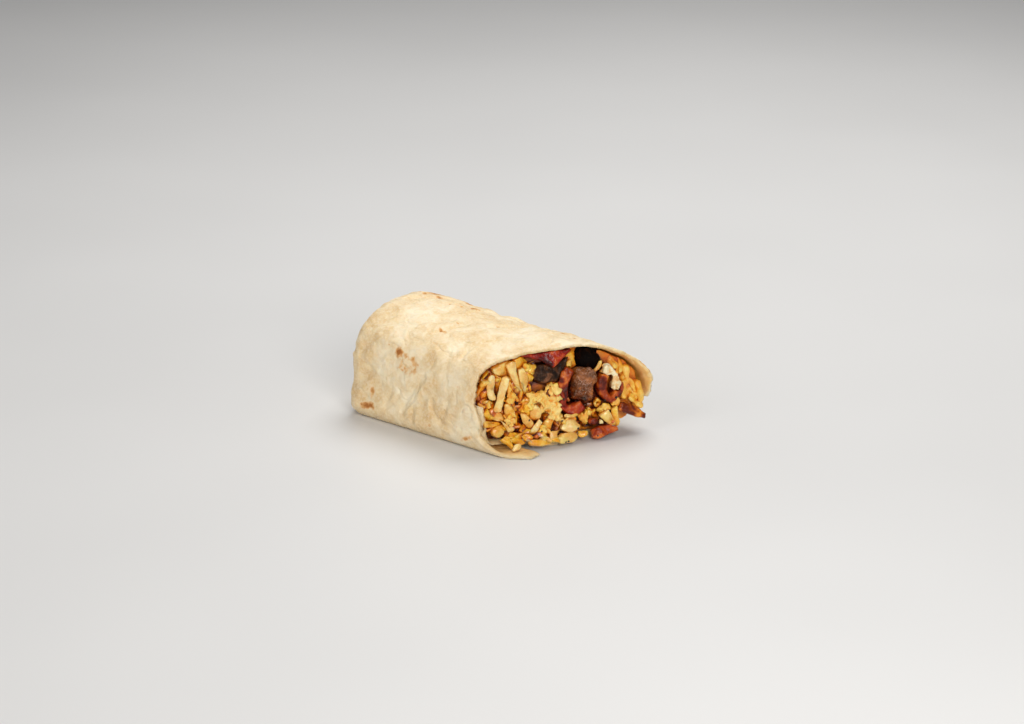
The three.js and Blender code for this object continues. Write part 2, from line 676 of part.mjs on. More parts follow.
const carve = (solid) => {
  const within = aboveTable(solid.intersect(opening).subtract(wallAndMargin));
  return tidied(pockets.reduce((left, pocket) => left.subtract(pocket), within));
};
const { union } = wasm.Manifold;
const potato = union([fillingSolid(0).subtract(eggRegion(CLEAR)), ...shredSolids(0)]);
const potatoAndMargin = union([fillingSolid(CLEAR).subtract(eggRegion(0)), ...shredSolids(CLEAR)]);
const egg = union([fillingSolid(0).intersect(eggRegion(0)), ...curdSolids()]);
burrito.add(meshOf("hash_browns", carve(potato), "hash_browns"));
burrito.add(meshOf("scrambled_egg", carve(egg.subtract(potatoAndMargin)), "scrambled_egg"));

// The origin is at the middle of the bounding box's underside.
const box = new THREE.Box3().setFromObject(burrito, true);
const centre = box.getCenter(new THREE.Vector3());
burrito.position.set(-centre.x, -centre.y, -box.min.z);

export default burrito;
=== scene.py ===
"""Half of a breakfast burrito, cut on the bias: a rolled flour tortilla that shows its filling at the cut."""

import math

import bmesh
import bpy
import numpy as np
from mathutils import Matrix, Vector, noise
from mathutils.bvhtree import BVHTree


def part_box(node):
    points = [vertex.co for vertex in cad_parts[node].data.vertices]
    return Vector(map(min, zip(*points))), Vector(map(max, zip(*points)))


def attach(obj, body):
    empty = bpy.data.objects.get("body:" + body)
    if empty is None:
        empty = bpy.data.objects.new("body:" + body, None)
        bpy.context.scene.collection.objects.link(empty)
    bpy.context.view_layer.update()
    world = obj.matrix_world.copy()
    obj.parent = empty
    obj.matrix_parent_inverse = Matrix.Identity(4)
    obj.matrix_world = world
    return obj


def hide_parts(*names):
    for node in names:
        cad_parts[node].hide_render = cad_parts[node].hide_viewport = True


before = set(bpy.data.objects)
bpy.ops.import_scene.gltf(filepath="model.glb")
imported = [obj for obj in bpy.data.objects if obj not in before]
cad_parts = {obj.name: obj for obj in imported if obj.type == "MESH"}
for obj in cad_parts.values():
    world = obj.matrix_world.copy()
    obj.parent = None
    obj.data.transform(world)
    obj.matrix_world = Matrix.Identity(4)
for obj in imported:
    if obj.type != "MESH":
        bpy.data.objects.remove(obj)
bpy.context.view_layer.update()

MM = 0.001

# The roll, in millimetres, measured from the middle of the cut at the table
BODY_LENGTH = 88.0
CENTRE_Y = -2.3
NEAR_HALF = 32.4
FAR_HALF = 31.8
WIDEST_Z = 18.5
TOP_RISE = 20.0
BOTTOM_SINK = 1.3
NEAR_TOP_POWER = 2.9
FAR_TOP_POWER = 2.0
NEAR_BOTTOM_POWER = 7.0
FAR_BOTTOM_POWER = 2.7
END_SWELL = 0.075
END_LEAN = 2.4

# The tortilla
PLY = 1.8
PLY_GAP = 0.35
GAP_OPENS = 0.8
FLAP_TURN_BACK = 0.26
FLAP_TURN_CUT = 0.168
STEP_TURN = 0.06
INNER_DEPTH = 2 * PLY + PLY_GAP
COLUMNS_UNDER = 70  # steps round the sheet, under the flap
COLUMNS_OUT = 330  # and from the flap's edge all the way round to it

# The closed end
END_ROUND = 7.5
END_POWER = 3
FOLD_STEP = 1.2
FOLD_OUTER = 0.88
FOLD_PITCH = 0.34
START_X = -BODY_LENGTH + END_ROUND

# The cut
BIAS = math.radians(31)
CUT_LEAN = 0.15
EDGE_REACH = [
    (0, 0), (0.06, 0.5), (0.125, 10), (0.14, 12), (0.168, 10.7), (0.18, 1.5), (0.23, 1),
    (0.28, -2), (0.34, -5), (0.41, -9), (0.46, -7), (0.5, -1), (0.53, 0), (1, 0),
]


def smooth(low, high, value):
    """A smooth step from 0 to 1."""
    share = np.clip((value - low) / (high - low), 0, 1)
    return share * share * (3 - 2 * share)


def mix(low, high, share):
    return low + (high - low) * share


def soft_noise(points, size, seed=0):
    """Smooth noise, about -1 to 1, with features of that size in mm, at each point in mm."""
    shift = Vector((7.3 * seed, 3.1 * seed, -5.7 * seed))
    return np.array([noise.noise(Vector(p) / size + shift) for p in points]) * 1.6


# The roll's outline across its length, as one turn: down the near wall, under it,
# up the far wall and over the top


def side_of(near, below):
    """The roll's half width, and how square its outline is, on each side of its widest line."""
    bottom = np.where(near, NEAR_BOTTOM_POWER, FAR_BOTTOM_POWER)
    top = np.where(near, NEAR_TOP_POWER, FAR_TOP_POWER)
    return np.where(near, NEAR_HALF, FAR_HALF), np.where(below, bottom, top)


def outline_table():
    steps = 1440
    angle = math.pi + 2 * math.pi * np.arange(steps + 1) / steps
    across, up = np.cos(angle), np.sin(angle)
    half, power = side_of(across < 0, up < 0)
    rise = np.where(up < 0, WIDEST_Z + BOTTOM_SINK, TOP_RISE)
    y = CENTRE_Y + half * np.sign(across) * np.abs(across) ** (2 / power)
    z = np.maximum(WIDEST_Z + rise * np.sign(up) * np.abs(up) ** (2 / power), 0)
    lengths = np.concatenate([[0], np.cumsum(np.hypot(np.diff(y), np.diff(z)))])
    return y, z, lengths / lengths[-1], lengths[-1]


OUTLINE_Y, OUTLINE_Z, OUTLINE_TURN, OUTLINE_LENGTH = outline_table()


def outline_spot(turn):
    around = np.mod(turn, 1.0)
    return np.interp(around, OUTLINE_TURN, OUTLINE_Y), np.interp(around, OUTLINE_TURN, OUTLINE_Z)


def inset_spot(turn, depth):
    """A place on the outline, moved inwards by a depth."""
    aside = 0.012
    y, z = outline_spot(turn)
    y0, z0 = outline_spot(turn - aside)
    y1, z1 = outline_spot(turn + aside)
    length = np.hypot(y1 - y0, z1 - z0)
    return y - depth * (z1 - z0) / length, z + depth * (y1 - y0) / length


def cut_x(y, z):
    """Where the knife's plane meets a line along the roll."""
    return y * math.tan(BIAS) - CUT_LEAN * (z - WIDEST_Z)


def shaped(x, y, z):
    """The roll stands a little taller at its closed end, and its near wall leans in there."""
    towards_end = 1 - smooth(-BODY_LENGTH, 0, x)
    lean = END_LEAN * towards_end * smooth(2, 14, z) * (1 - smooth(-30, 0, y))
    return np.stack([x, y + lean, z * (1 + END_SWELL * towards_end)], -1)


def flap_turn(share):
    return mix(FLAP_TURN_BACK, FLAP_TURN_CUT, smooth(0.2, 1, share))


def fold_depth(share, turn):
    """The folded end: a lip that winds inwards, each turn a step lower."""
    lip = FOLD_OUTER - FOLD_PITCH * np.mod(turn - FLAP_TURN_BACK, 1.0)
    return FOLD_STEP * sum(1 - smooth(edge - 0.06, edge + 0.03, share) for edge in (lip, lip - FOLD_PITCH))


def end_spot(share, turn, depth):
    """A place on the roll's closed end, from its middle (share 0) to its rim (share 1)."""
    y, z = inset_spot(turn, depth)
    bulge = (1 - share**END_POWER) ** (1 / END_POWER)
    x = START_X - (END_ROUND - depth) * bulge + fold_depth(share, turn)
    return shaped(x, CENTRE_Y + share * (y - CENTRE_Y), WIDEST_Z + share * (z - WIDEST_Z))


def body_spot(share, turn, depth, front):
    """A place along the roll, from the closed end (share 0) to its front edge (share 1)."""
    y, z = inset_spot(turn, depth)
    return shaped(mix(START_X, cut_x(y, z) + front, share), y, z)


def roll_place():
    """How far the roll's own middle lies from the part's origin, in mm."""
    low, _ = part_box("tortilla")
    share, turn = np.meshgrid(np.linspace(0, 1, 60), np.linspace(0, 1, 200))
    far_back = end_spot(share, turn, 0)[..., 0].min()
    return np.array([low.x / MM - far_back, low.y / MM - (CENTRE_Y - NEAR_HALF), 0.0])


PLACE = roll_place()


def new_object(name, data):
    made = bpy.data.objects.new(name, data)
    bpy.context.scene.collection.objects.link(made)
    return made


def mesh_piece(name, points, faces):
    """A new object from points in the roll's millimetres."""
    mesh = bpy.data.meshes.new(name)
    mesh.from_pydata(((np.asarray(points) + PLACE) * MM).tolist(), [], faces)
    mesh.shade_smooth()
    return new_object(name, mesh)


def mended(mesh, weld=0.0, split=False, outwards=True, before=None):
    """Welds points that are closer than a distance in mm, splits large faces and turns all outwards."""
    shell = bmesh.new()
    shell.from_mesh(mesh)
    if weld:
        bmesh.ops.remove_doubles(shell, verts=shell.verts, dist=weld * MM)
    if before:
        before(shell)
    if split:
        bmesh.ops.triangulate(shell, faces=[face for face in shell.faces if len(face.verts) > 4])
    if outwards:
        bmesh.ops.recalc_face_normals(shell, faces=shell.faces)
    shell.to_mesh(mesh)
    shell.free()


def places_of(piece):
    """Each vertex of a piece, in the roll's millimetres, with its normal."""
    mesh = piece.data
    spots = np.zeros(len(mesh.vertices) * 3, np.float32)
    normals = np.zeros(len(mesh.vertices) * 3, np.float32)
    mesh.vertices.foreach_get("co", spots)
    mesh.vertex_normals.foreach_get("vector", normals)
    return spots.reshape(-1, 3) / MM - PLACE, normals.reshape(-1, 3)


def set_places(piece, spots):
    piece.data.vertices.foreach_set("co", ((spots + PLACE) * MM).astype(np.float32).ravel())
    piece.data.update()


def move_out(piece, heights):
    """Moves each vertex along its normal by a height in mm."""
    spots, normals = places_of(piece)
    set_places(piece, spots + normals * heights[:, None])


def mark(piece, name, values):
    """Stores a number on each vertex, for the material to read."""
    kept = piece.data.attributes.new(name, "FLOAT", "POINT")
    kept.data.foreach_set("value", np.asarray(values, np.float32))


def read_mark(piece, name):
    values = np.zeros(len(piece.data.vertices), np.float32)
    piece.data.attributes[name].data.foreach_get("value", values)
    return values


# The tortilla sheet, from the inner ply's free edge round to the flap's free edge


def edge_reach(turn, z):
    """How far the sheet's cut edge stands out of the knife's plane."""
    along = np.mod(turn, 1.0)
    outer = np.interp(along, *zip(*EDGE_REACH))
    ragged = 0.4 * np.sin(61 * along) + 0.25 * np.sin(137 * along + z * 0.3)
    frayed = 0.16 * np.sin(391 * along + 2.2 * np.sin(57 * along)) + 0.1 * np.sin(877 * along)
    under_flap = turn < FLAP_TURN_CUT + 0.004
    return np.where(under_flap, 0.5 - 1.2 * np.sin(22 * turn), outer + ragged) + frayed


def sheet_depth(turn, share):
    """How deep the sheet's outer face lies: under the flap at first, and then outside."""
    edge = flap_turn(share)
    under = PLY + PLY_GAP + GAP_OPENS * share**4 * smooth(0.05, 0.1, turn)
    shut = smooth(0, 0.06, share)
    under = under * (shut + (1 - shut) * (1 - smooth(edge - 0.04, edge, turn)))
    return mix(under, 0, smooth(edge, edge + STEP_TURN, turn))


def sheet_rows(shares, inner):
    """Rows along the roll of points round the sheet, on its outer or inner face, thinner at its edges."""
    for share in shares:
        edge = flap_turn(share)
        under = np.linspace(0, edge, COLUMNS_UNDER, endpoint=False)
        turn = np.concatenate([under, np.linspace(edge, 1 + edge, COLUMNS_OUT + 1)])
        depth = sheet_depth(turn, share)
        reach = edge_reach(turn, inset_spot(turn, 0)[1])
        free_edge = np.minimum(turn, 1 + edge - turn) * OUTLINE_LENGTH
        thin = 0.42 * smooth(0.975, 1, share) + 0.45 * (1 - smooth(0, 2.2, free_edge))
        if inner:
            ply = np.where(turn < edge, np.minimum(INNER_DEPTH, depth + PLY) - depth, PLY)
            depth = depth + ply - thin
        else:
            depth = depth + thin * 0.6
        yield turn, body_spot(share, turn, depth, reach)


def tortilla_sheet():
    points, faces, turns, sides = [], [], [], []

    def add_row(turn, spots, side):
        points.extend(spots)
        turns.extend(turn)
        sides.extend([side] * len(turn))
        return len(points) - len(turn)

    def skin(starts, width):
        for low, high in zip(starts, starts[1:]):
            faces.extend((low + c, low + c + 1, high + c + 1, high + c) for c in range(width - 1))

    shares_out = np.concatenate([np.linspace(0, 0.94, 128, endpoint=False), np.linspace(0.94, 1, 14)])
    shares_in = np.array([0, 0.3, 0.6, 0.75, 0.83, 0.88, 0.91, 0.935, 0.955, 0.97, 0.982, 0.992, 1])
    out_rows = [add_row(turn, spots, 0.0) for turn, spots in sheet_rows(shares_out, False)]
    in_rows = [add_row(turn, spots, 1.0) for turn, spots in sheet_rows(shares_in, True)]
    columns = COLUMNS_UNDER + COLUMNS_OUT + 1
    skin(out_rows, columns)
    skin(in_rows, columns)
    skin([out_rows[-1], in_rows[-1]], columns)
    skin([out_rows[0], in_rows[0]], COLUMNS_UNDER + 1)

    # One large face closes each free edge, between the edge points of the two sides
    for column in (0, columns - 1):
        faces.append(tuple([row + column for row in out_rows] + [row + column for row in in_rows[::-1]]))

    # The closed end: rings from the rim to the middle, for each side of the sheet
    turn = np.linspace(FLAP_TURN_BACK, 1 + FLAP_TURN_BACK, COLUMNS_OUT + 1)
    for side, rim_row, rings, depth in ((0.0, out_rows[0], 34, 0.0), (1.0, in_rows[0], 6, PLY)):
        rows = [rim_row + COLUMNS_UNDER]
        for share in np.linspace(1, 0, rings)[1:-1]:
            rows.append(add_row(turn, end_spot(np.full(turn.shape, share), turn, depth), side))
        skin(rows, COLUMNS_OUT + 1)
        middle = add_row([0.0], end_spot(np.array([0.0]), turn[:1], depth), side)
        faces.extend((rows[-1] + c, rows[-1] + c + 1, middle) for c in range(COLUMNS_OUT))
    sheet = mesh_piece("tortilla_sheet", points, faces)
    mark(sheet, "turn", turns)
    mark(sheet, "inner_face", sides)
    mended(sheet.data, weld=0.002, split=True)
    sheet.data.shade_smooth()
    return sheet


# Toasted marks on the sheet: along the roll, round it in mm, half sizes, angle in degrees, strength
TOAST_MARKS = [
    (-60.7, -11.3, 1.7, 1.4, 0, 1.0), (-56.6, -10.7, 0.8, 0.7, 0, 0.4), (-53.0, -10.9, 0.9, 0.8, 0, 0.4),
    (-50.6, -8.4, 1.1, 2.2, 20, 0.26), (-57.5, -5.4, 2.6, 1.0, 0, 0.26), (-54.8, -7.6, 5.2, 3.8, 0, 0.46),
    (-73.2, 7.2, 1.2, 2.0, 0, 0.72), (-75.5, 12.5, 2.3, 1.0, -14, 1.5), (-71.6, 12.2, 1.6, 1.2, -40, 0.66),
    (-63.0, -17.4, 0.7, 0.6, 0, 0.6), (-66.2, -12.7, 0.7, 0.5, 0, 0.48), (-72.9, -15.3, 0.5, 1.0, 0, 0.42),
    (-65.2, 5.9, 0.4, 0.4, 0, 0.5), (-49.2, -27.4, 2.6, 1.0, 22, 0.95), (-48.5, -36.6, 0.9, 0.7, 0, 0.75),
    (-29.0, -6.3, 0.8, 0.7, 0, 0.62), (-42.8, 12.5, 0.7, 0.8, 0, 0.75), (-29.6, 9.9, 0.7, 0.6, 0, 0.45),
    (-24.5, 13.2, 3.2, 1.1, -28, 0.66),
]

# Creases pressed into the near wall: start and end along the roll and round it, width and depth
CREASES = [
    (-82.0, 7.0, -72.0, -0.8, 1.3, 0.35), (-57.5, 10.5, -46.0, -5.5, 1.2, 0.42),
    (-60.0, -2.0, -48.0, -9.5, 1.6, 0.25), (-52.0, 14.0, -50.0, 2.0, 1.1, 0.25),
    (-80.0, -6.0, -74.0, -13.0, 1.6, 0.3), (-66.0, 12.0, -62.0, 3.0, 1.0, 0.2),
    (-38.0, 12.0, -33.0, 0.0, 1.2, 0.22), (-40.0, -4.0, -30.0, -9.0, 1.4, 0.2),
]


def random_marks(count, seed):
    """More toasted marks, on the far side, the top and the underside."""
    draw = np.random.default_rng(seed)
    marks = []
    for _ in range(count):
        along, around = draw.uniform(-84, 20), draw.uniform(-OUTLINE_LENGTH + 20, -45)
        size = draw.uniform(0.6, 2.2)
        long_side = size * draw.uniform(0.8, 1.8)
        marks.append((along, around, long_side, size, draw.uniform(0, 180), draw.uniform(0.5, 1)))
    return marks


def near_mark(along, around, spot):
    """How near each place is to a mark: its strength in its middle, 0 outside."""
    x, s, half_x, half_s, angle, strength = spot
    c, k = math.cos(math.radians(angle)), math.sin(math.radians(angle))
    dx, ds = along - x, around - s
    across = ((dx * c + ds * k) / half_x) ** 2 + ((-dx * k + ds * c) / half_s) ** 2
    return strength * np.exp(-across * 0.7)


def crease_depth(along, around, crease):
    """A slightly bowed groove with a ridge beside it."""
    x0, s0, x1, s1, width, depth = crease
    length = math.hypot(x1 - x0, s1 - s0)
    ux, us = (x1 - x0) / length, (s1 - s0) / length
    run = (along - x0) * ux + (around - s0) * us
    bow = 0.08 * run * (length - run) / length * 2
    aside = -(along - x0) * us + (around - s0) * ux + bow
    within = smooth(-1.5, 2.5, run) * (1 - smooth(length - 3, length + 1.5, run))
    groove = -np.exp(-((aside / width) ** 2))
    ridge = 0.7 * np.exp(-(((aside - 1.9 * width) / (1.3 * width)) ** 2))
    return 2.2 * depth * within * (groove + ridge)


def blister_heights(along, around, count, seed):
    """Low blisters all over the sheet, in mm."""
    draw = np.random.default_rng(seed)
    height = np.zeros(len(along))
    for _ in range(count):
        x, s = draw.uniform(-90, 24), draw.uniform(-OUTLINE_LENGTH * 0.95, 24)
        radius, tall = draw.uniform(1.4, 4.5), draw.uniform(0.1, 0.34)
        near = np.abs(along - x) < 2.5 * radius
        share = np.hypot(along[near] - x, (around[near] - s) * draw.uniform(0.8, 1.3)) / radius
        height[near] += tall * (1 - smooth(0.35, 1.15, share))
    return height


def dress_tortilla(sheet):
    """Gives the sheet its sag, creases, blisters and toasted marks."""
    spots, _ = places_of(sheet)
    turn, inner = read_mark(sheet, "turn"), read_mark(sheet, "inner_face") > 0.5
    along, z = spots[:, 0], spots[:, 2]
    around = np.where(turn > 0.5, turn - 1, turn) * OUTLINE_LENGTH
    standing = smooth(0.2, 5, z)
    sag = 0.5 * soft_noise(spots, 26, 1) + 0.3 * soft_noise(spots, 12, 2)
    flat_spots = np.stack([along * 0.75 + around * 0.35, around * 0.9 - along * 0.3, 0 * along], -1)
    warp = soft_noise(flat_spots, 17, 3)
    warped = flat_spots + np.stack([4 * warp, -3 * warp, 0 * warp], -1)
    lines = soft_noise(warped * [1.0, 0.42, 1], 9, 4)
    sparse = smooth(0.05, 0.5, soft_noise(flat_spots, 21, 5))
    wrinkles = sparse * (0.35 * np.exp(-(((lines - 0.3) / 0.18) ** 2)) - 0.8 * np.exp(-((lines / 0.15) ** 2)))
    creases = sum(crease_depth(along, around, crease) for crease in CREASES)
    skin = 0.13 * soft_noise(spots, 2.8, 7) + 0.06 * soft_noise(spots, 1.4, 8)
    outer_relief = wrinkles + blister_heights(along, around, 260, 6) + creases + skin
    move_out(sheet, standing * np.where(inner, -sag, sag) + np.where(inner, skin, outer_relief * standing))
    toast = sum(near_mark(along, around, spot) for spot in TOAST_MARKS + random_marks(46, 12))
    mark(sheet, "toast", np.where(inner, 0, toast))
    # The inner face goes darker and more amber behind the cut edge: partly oil from the filling, partly
    # painted shade deeper inside the roll
    low = smooth(12, 4, z)
    behind_rim = smooth(0.3, 5.5, low * edge_reach(turn, z) - out_of_cut(spots)) * mix(1, 0.55, low)
    mark(sheet, "oily", np.where(inner, behind_rim, 0))
    # Where the far wall's inside gets its painted glow
    mark(sheet, "far_wall", smooth(8, 20, spots[:, 1]))


# Materials


def give(tree, socket, value):
    """Gives a socket a number or a colour, or what other nodes work out."""
    value = getattr(value, "socket", value)
    if isinstance(value, bpy.types.NodeSocket):
        tree.links.new(value, socket)
    else:
        socket.default_value = (*value, 1.0) if socket.type == "RGBA" else value


def add(tree, kind, inputs=None, **settings):
    """Adds a node, with its settings and what its inputs get."""
    made = tree.nodes.new(kind)
    for name, value in settings.items():
        setattr(made, name, value)
    for name, value in (inputs or {}).items():
        give(tree, made.inputs[name], value)
    return made


class Amount:
    """A number that nodes work out at each place. Sums with it are nodes too."""

    def __init__(self, tree, socket):
        self.tree, self.socket = tree, socket

    def then(self, operation, *others):
        made = add(self.tree, "ShaderNodeMath", dict(enumerate([self, *others])), operation=operation)
        return Amount(self.tree, made.outputs[0])

    def __add__(self, other):
        return self.then("ADD", other)

    def __sub__(self, other):
        return self.then("SUBTRACT", other)

    def __mul__(self, other):
        return self.then("MULTIPLY", other)

    def __abs__(self):
        return self.then("ABSOLUTE")


class Paint:
    """A material in the making. Its sizes are in mm, and its colours are red, green and blue."""

    def __init__(self, name):
        self.material = bpy.data.materials.new(name)
        self.material.use_nodes = True
        self.tree = self.material.node_tree
        self.shader = self.tree.nodes["Principled BSDF"]

    def grain(self, size, detail=3.0, roughness=0.5, distortion=0.0):
        """Noise with features of a size, from 0 to 1."""
        made = add(self.tree, "ShaderNodeTexNoise", {
            "Vector": add(self.tree, "ShaderNodeTexCoord").outputs["Object"], "Scale": 1 / (size * MM),
            "Detail": detail, "Roughness": roughness, "Distortion": distortion,
        })
        return Amount(self.tree, made.outputs["Fac"])

    def stored(self, name):
        return Amount(self.tree, add(self.tree, "ShaderNodeAttribute", attribute_name=name).outputs["Fac"])

    def between(self, value, low, high):
        """A smooth step from 0 to 1."""
        span = {"Value": value, "From Min": low, "From Max": high}
        made = add(self.tree, "ShaderNodeMapRange", span, interpolation_type="SMOOTHSTEP")
        return Amount(self.tree, made.outputs[0])

    def ramp(self, value, *stops):
        """Colours along a value, each stop a place and a colour."""
        made = add(self.tree, "ShaderNodeValToRGB", {"Fac": value})
        elements = made.color_ramp.elements
        while len(elements) < len(stops):
            elements.new(0.5)
        for element, (place, colour) in zip(elements, stops):
            element.position = place
            element.color = (*colour, 1.0)
        return made.outputs["Color"]

    def blend(self, share, low, high, kind="MIX"):
        inputs = {0: share, 6: low, 7: high}
        return add(self.tree, "ShaderNodeMix", inputs, data_type="RGBA", blend_type=kind).outputs[2]

    def shaded(self, colour):
        """Painted shade between the pieces: the colour is multiplied towards amber, and then brown, as the
        deep mark grows.
        """
        shade = self.ramp(
            self.stored("deep"), (0.17, (1, 1, 1)), (0.37, (0.93, 0.65, 0.25)),
            (0.58, (0.66, 0.27, 0.035)), (0.86, (0.1, 0.02, 0.002)),
        )
        return self.blend(1.0, colour, shade, "MULTIPLY")

    def finished(self, colour, rough, relief=None, coat=None, shine=None, flesh=None):
        """Ends a material: relief is a height from 0 to 1, its distance, its strength and its share in the
        oil's surface, coat a weight and a roughness, and flesh a weight and how far each colour reaches."""
        numbers = {"Base Color": colour, "Roughness": rough}
        if coat:
            numbers["Coat Weight"], numbers["Coat Roughness"] = coat
        if shine is not None:
            numbers["Specular IOR Level"] = shine
        if flesh:
            numbers["Subsurface Weight"], numbers["Subsurface Radius"] = flesh[0], flesh[1:]
            numbers["Subsurface Scale"] = MM
        for name, value in numbers.items():
            give(self.tree, self.shader.inputs[name], value)
        if relief:
            height, distance, strength, oil = relief
            for name, share in (("Normal", 1.0), ("Coat Normal", oil)):
                bump = {"Height": height, "Distance": distance * MM, "Strength": strength * share}
                bump = add(self.tree, "ShaderNodeBump", bump)
                give(self.tree, self.shader.inputs[name], bump.outputs["Normal"])
        return self.material


OIL_RELIEF = 0.4  # the share of a surface's relief that its oil keeps


def toasted_flour():
    """Soft flour dough: cream and tan mottling, toasted marks and a dusty fine grain."""
    paint = Paint("toasted_flour")
    patch = paint.grain(5.5, 4.0, 0.55, 0.6)
    dough = paint.ramp(
        (paint.grain(16, 2.0) + patch) * 0.5,
        (0.34, (0.75, 0.51, 0.24)), (0.48, (0.84, 0.64, 0.36)), (0.62, (0.95, 0.8, 0.56)),
    )
    dusty = paint.between(paint.grain(0.9, 4.0, 0.6), 0.35, 0.8) * 0.5
    dough = paint.blend(dusty, dough, (0.98, 0.87, 0.7))
    toast = paint.stored("toast") * (paint.between(paint.grain(1.9, 2.5, 0.5), 0.34, 0.66) * 0.6 + 0.6)
    browned = paint.ramp(
        toast, (0.22, (0.9, 0.74, 0.49)), (0.42, (0.82, 0.54, 0.27)),
        (0.62, (0.68, 0.34, 0.11)), (1.0, (0.44, 0.16, 0.035)),
    )
    outside = paint.blend(paint.between(toast, 0.06, 0.44), dough, browned)
    cloud = paint.between(patch, 0.3, 0.7)
    dry = paint.blend(cloud, (0.68, 0.46, 0.2), (0.84, 0.65, 0.36))
    # Painted glow: the far wall's inside is painted brighter and warmer, for light that shines through the
    # thin sheet
    painted_glow = paint.blend(cloud, (0.82, 0.5, 0.16), (0.96, 0.72, 0.36))
    # Oil and painted shade: darker amber where the inner face lies deeper behind the cut edge
    oiled_and_shaded = paint.blend(cloud, (0.46, 0.17, 0.008), (0.74, 0.38, 0.04))
    inside = paint.blend(paint.stored("oily"), paint.blend(paint.stored("far_wall"), dry, painted_glow), oiled_and_shaded)
    colour = paint.blend(paint.stored("inner_face"), outside, inside)
    folds = paint.between(abs(paint.grain(10.0, 2.0, 0.5, 0.7) - 0.5), 0.0, 0.11)
    relief = folds * 0.45 + (paint.grain(1.6, 3.0, 0.6) * 0.6 + paint.grain(0.5, 2.0) * 0.25)
    return paint.finished(
        colour, patch * 0.3 + 0.5, (relief, 0.6, 0.8, OIL_RELIEF), shine=0.3, flesh=(0.35, 1.8, 1.5, 1.1)
    )


def waxy_potato():
    """Boiled potato with oil on it: pale and see-through, browned at places, with painted light that leaves
    the seen slabs paler at their thin rims and more amber inwards, and painted shade between the pieces.
    """
    paint = Paint("waxy_potato")
    cloud = paint.between(paint.grain(4.2, 3.0, 0.5, 0.5), 0.36, 0.64)
    pale = paint.blend(cloud, (0.86, 0.53, 0.16), (1.0, 0.8, 0.4))
    golden = paint.blend(cloud, (0.86, 0.37, 0.012), (1.0, 0.6, 0.065))
    # On the seen slabs 'along' is how near the rim a place is, so their rims are painted paler, painted light
    # for light through the thin edges; on the strips it runs along each strip and only shifts the tone from
    # end to end
    yellow = paint.stored("along") * -0.2 + paint.stored("tint") + (paint.grain(7.0, 2.0) * 1.2 - 0.4)
    colour = paint.blend(yellow, pale, golden)
    browned = paint.blend(paint.grain(1.4, 3.0), (0.56, 0.2, 0.02), (0.86, 0.46, 0.09))
    edge = paint.stored("crisp") * (paint.grain(2.2, 3.0) * 1.8)
    colour = paint.shaded(paint.blend(paint.between(edge, 0.42, 0.8), colour, browned))
    relief = (paint.grain(1.8, 2.0) + paint.grain(0.6, 2.0) * 0.3, 0.4, 0.6, OIL_RELIEF)
    rough = paint.grain(1.2) * 0.3 + 0.12
    return paint.finished(colour, rough, relief, coat=(0.3, 0.07), flesh=(0.6, 1.1, 0.9, 0.6))


def soft_egg():
    """Scrambled egg: yellow, with paler firm curds, and painted shade that turns its folds and gaps amber."""
    paint = Paint("soft_egg")
    cloud = paint.grain(4.0, 4.0, 0.55, 0.4)
    yellow = paint.ramp(cloud, (0.36, (0.95, 0.37, 0.006)), (0.5, (1, 0.53, 0.028)), (0.66, (1, 0.71, 0.12)))
    pale = paint.blend(cloud, (0.98, 0.63, 0.14), (1.0, 0.84, 0.38))
    colour = paint.shaded(paint.blend(paint.stored("pale"), yellow, pale))
    relief = (paint.grain(0.6, 4.0, 0.65), 0.3, 0.6, OIL_RELIEF)
    rough = paint.grain(1.1) * 0.3 + 0.28
    return paint.finished(colour, rough, relief, coat=(0.15, 0.12), flesh=(0.25, 0.7, 0.6, 0.45))


def fried_bacon():
    """Fried bacon: glossy red and brown lean, with orange streaks of fat."""
    paint = Paint("fried_bacon")
    streak = paint.grain(4.5, 2.5, 0.5, 0.5)
    lean = paint.ramp(
        streak, (0.34, (0.05, 0.001, 0.001)), (0.45, (0.21, 0.006, 0.002)),
        (0.55, (0.42, 0.022, 0.005)), (0.66, (0.6, 0.11, 0.022)),
    )
    amber = paint.ramp(
        streak, (0.38, (0.14, 0.014, 0.001)), (0.48, (0.48, 0.095, 0.006)), (0.6, (0.88, 0.33, 0.03))
    )
    colour = paint.shaded(paint.blend(paint.stored("amber"), lean, amber))
    relief = paint.grain(2.4, 2.0, 0.5, 0.6) * 0.7 + paint.grain(0.7, 3.0) * 0.4
    rough = paint.grain(1.0, 3.0) * 0.35 + 0.22
    return paint.finished(colour, rough, (relief, 0.7, 0.8, 1.0), (0.42, 0.05), 0.12, (0.25, 1.2, 0.5, 0.3))


def soft_fat():
    paint = Paint("soft_fat")
    cloud = paint.grain(2.0, 3.0, 0.5, 0.5)
    pale = paint.ramp(cloud, (0.36, (0.86, 0.52, 0.2)), (0.48, (0.98, 0.78, 0.44)), (0.64, (1, 0.9, 0.66)))
    colour, rough = paint.shaded(pale), cloud * 0.3 + 0.2
    relief = (paint.grain(0.8, 3.0), 0.3, 0.5, OIL_RELIEF)
    return paint.finished(colour, rough, relief, coat=(0.4, 0.15), flesh=(0.4, 0.8, 0.7, 0.6))


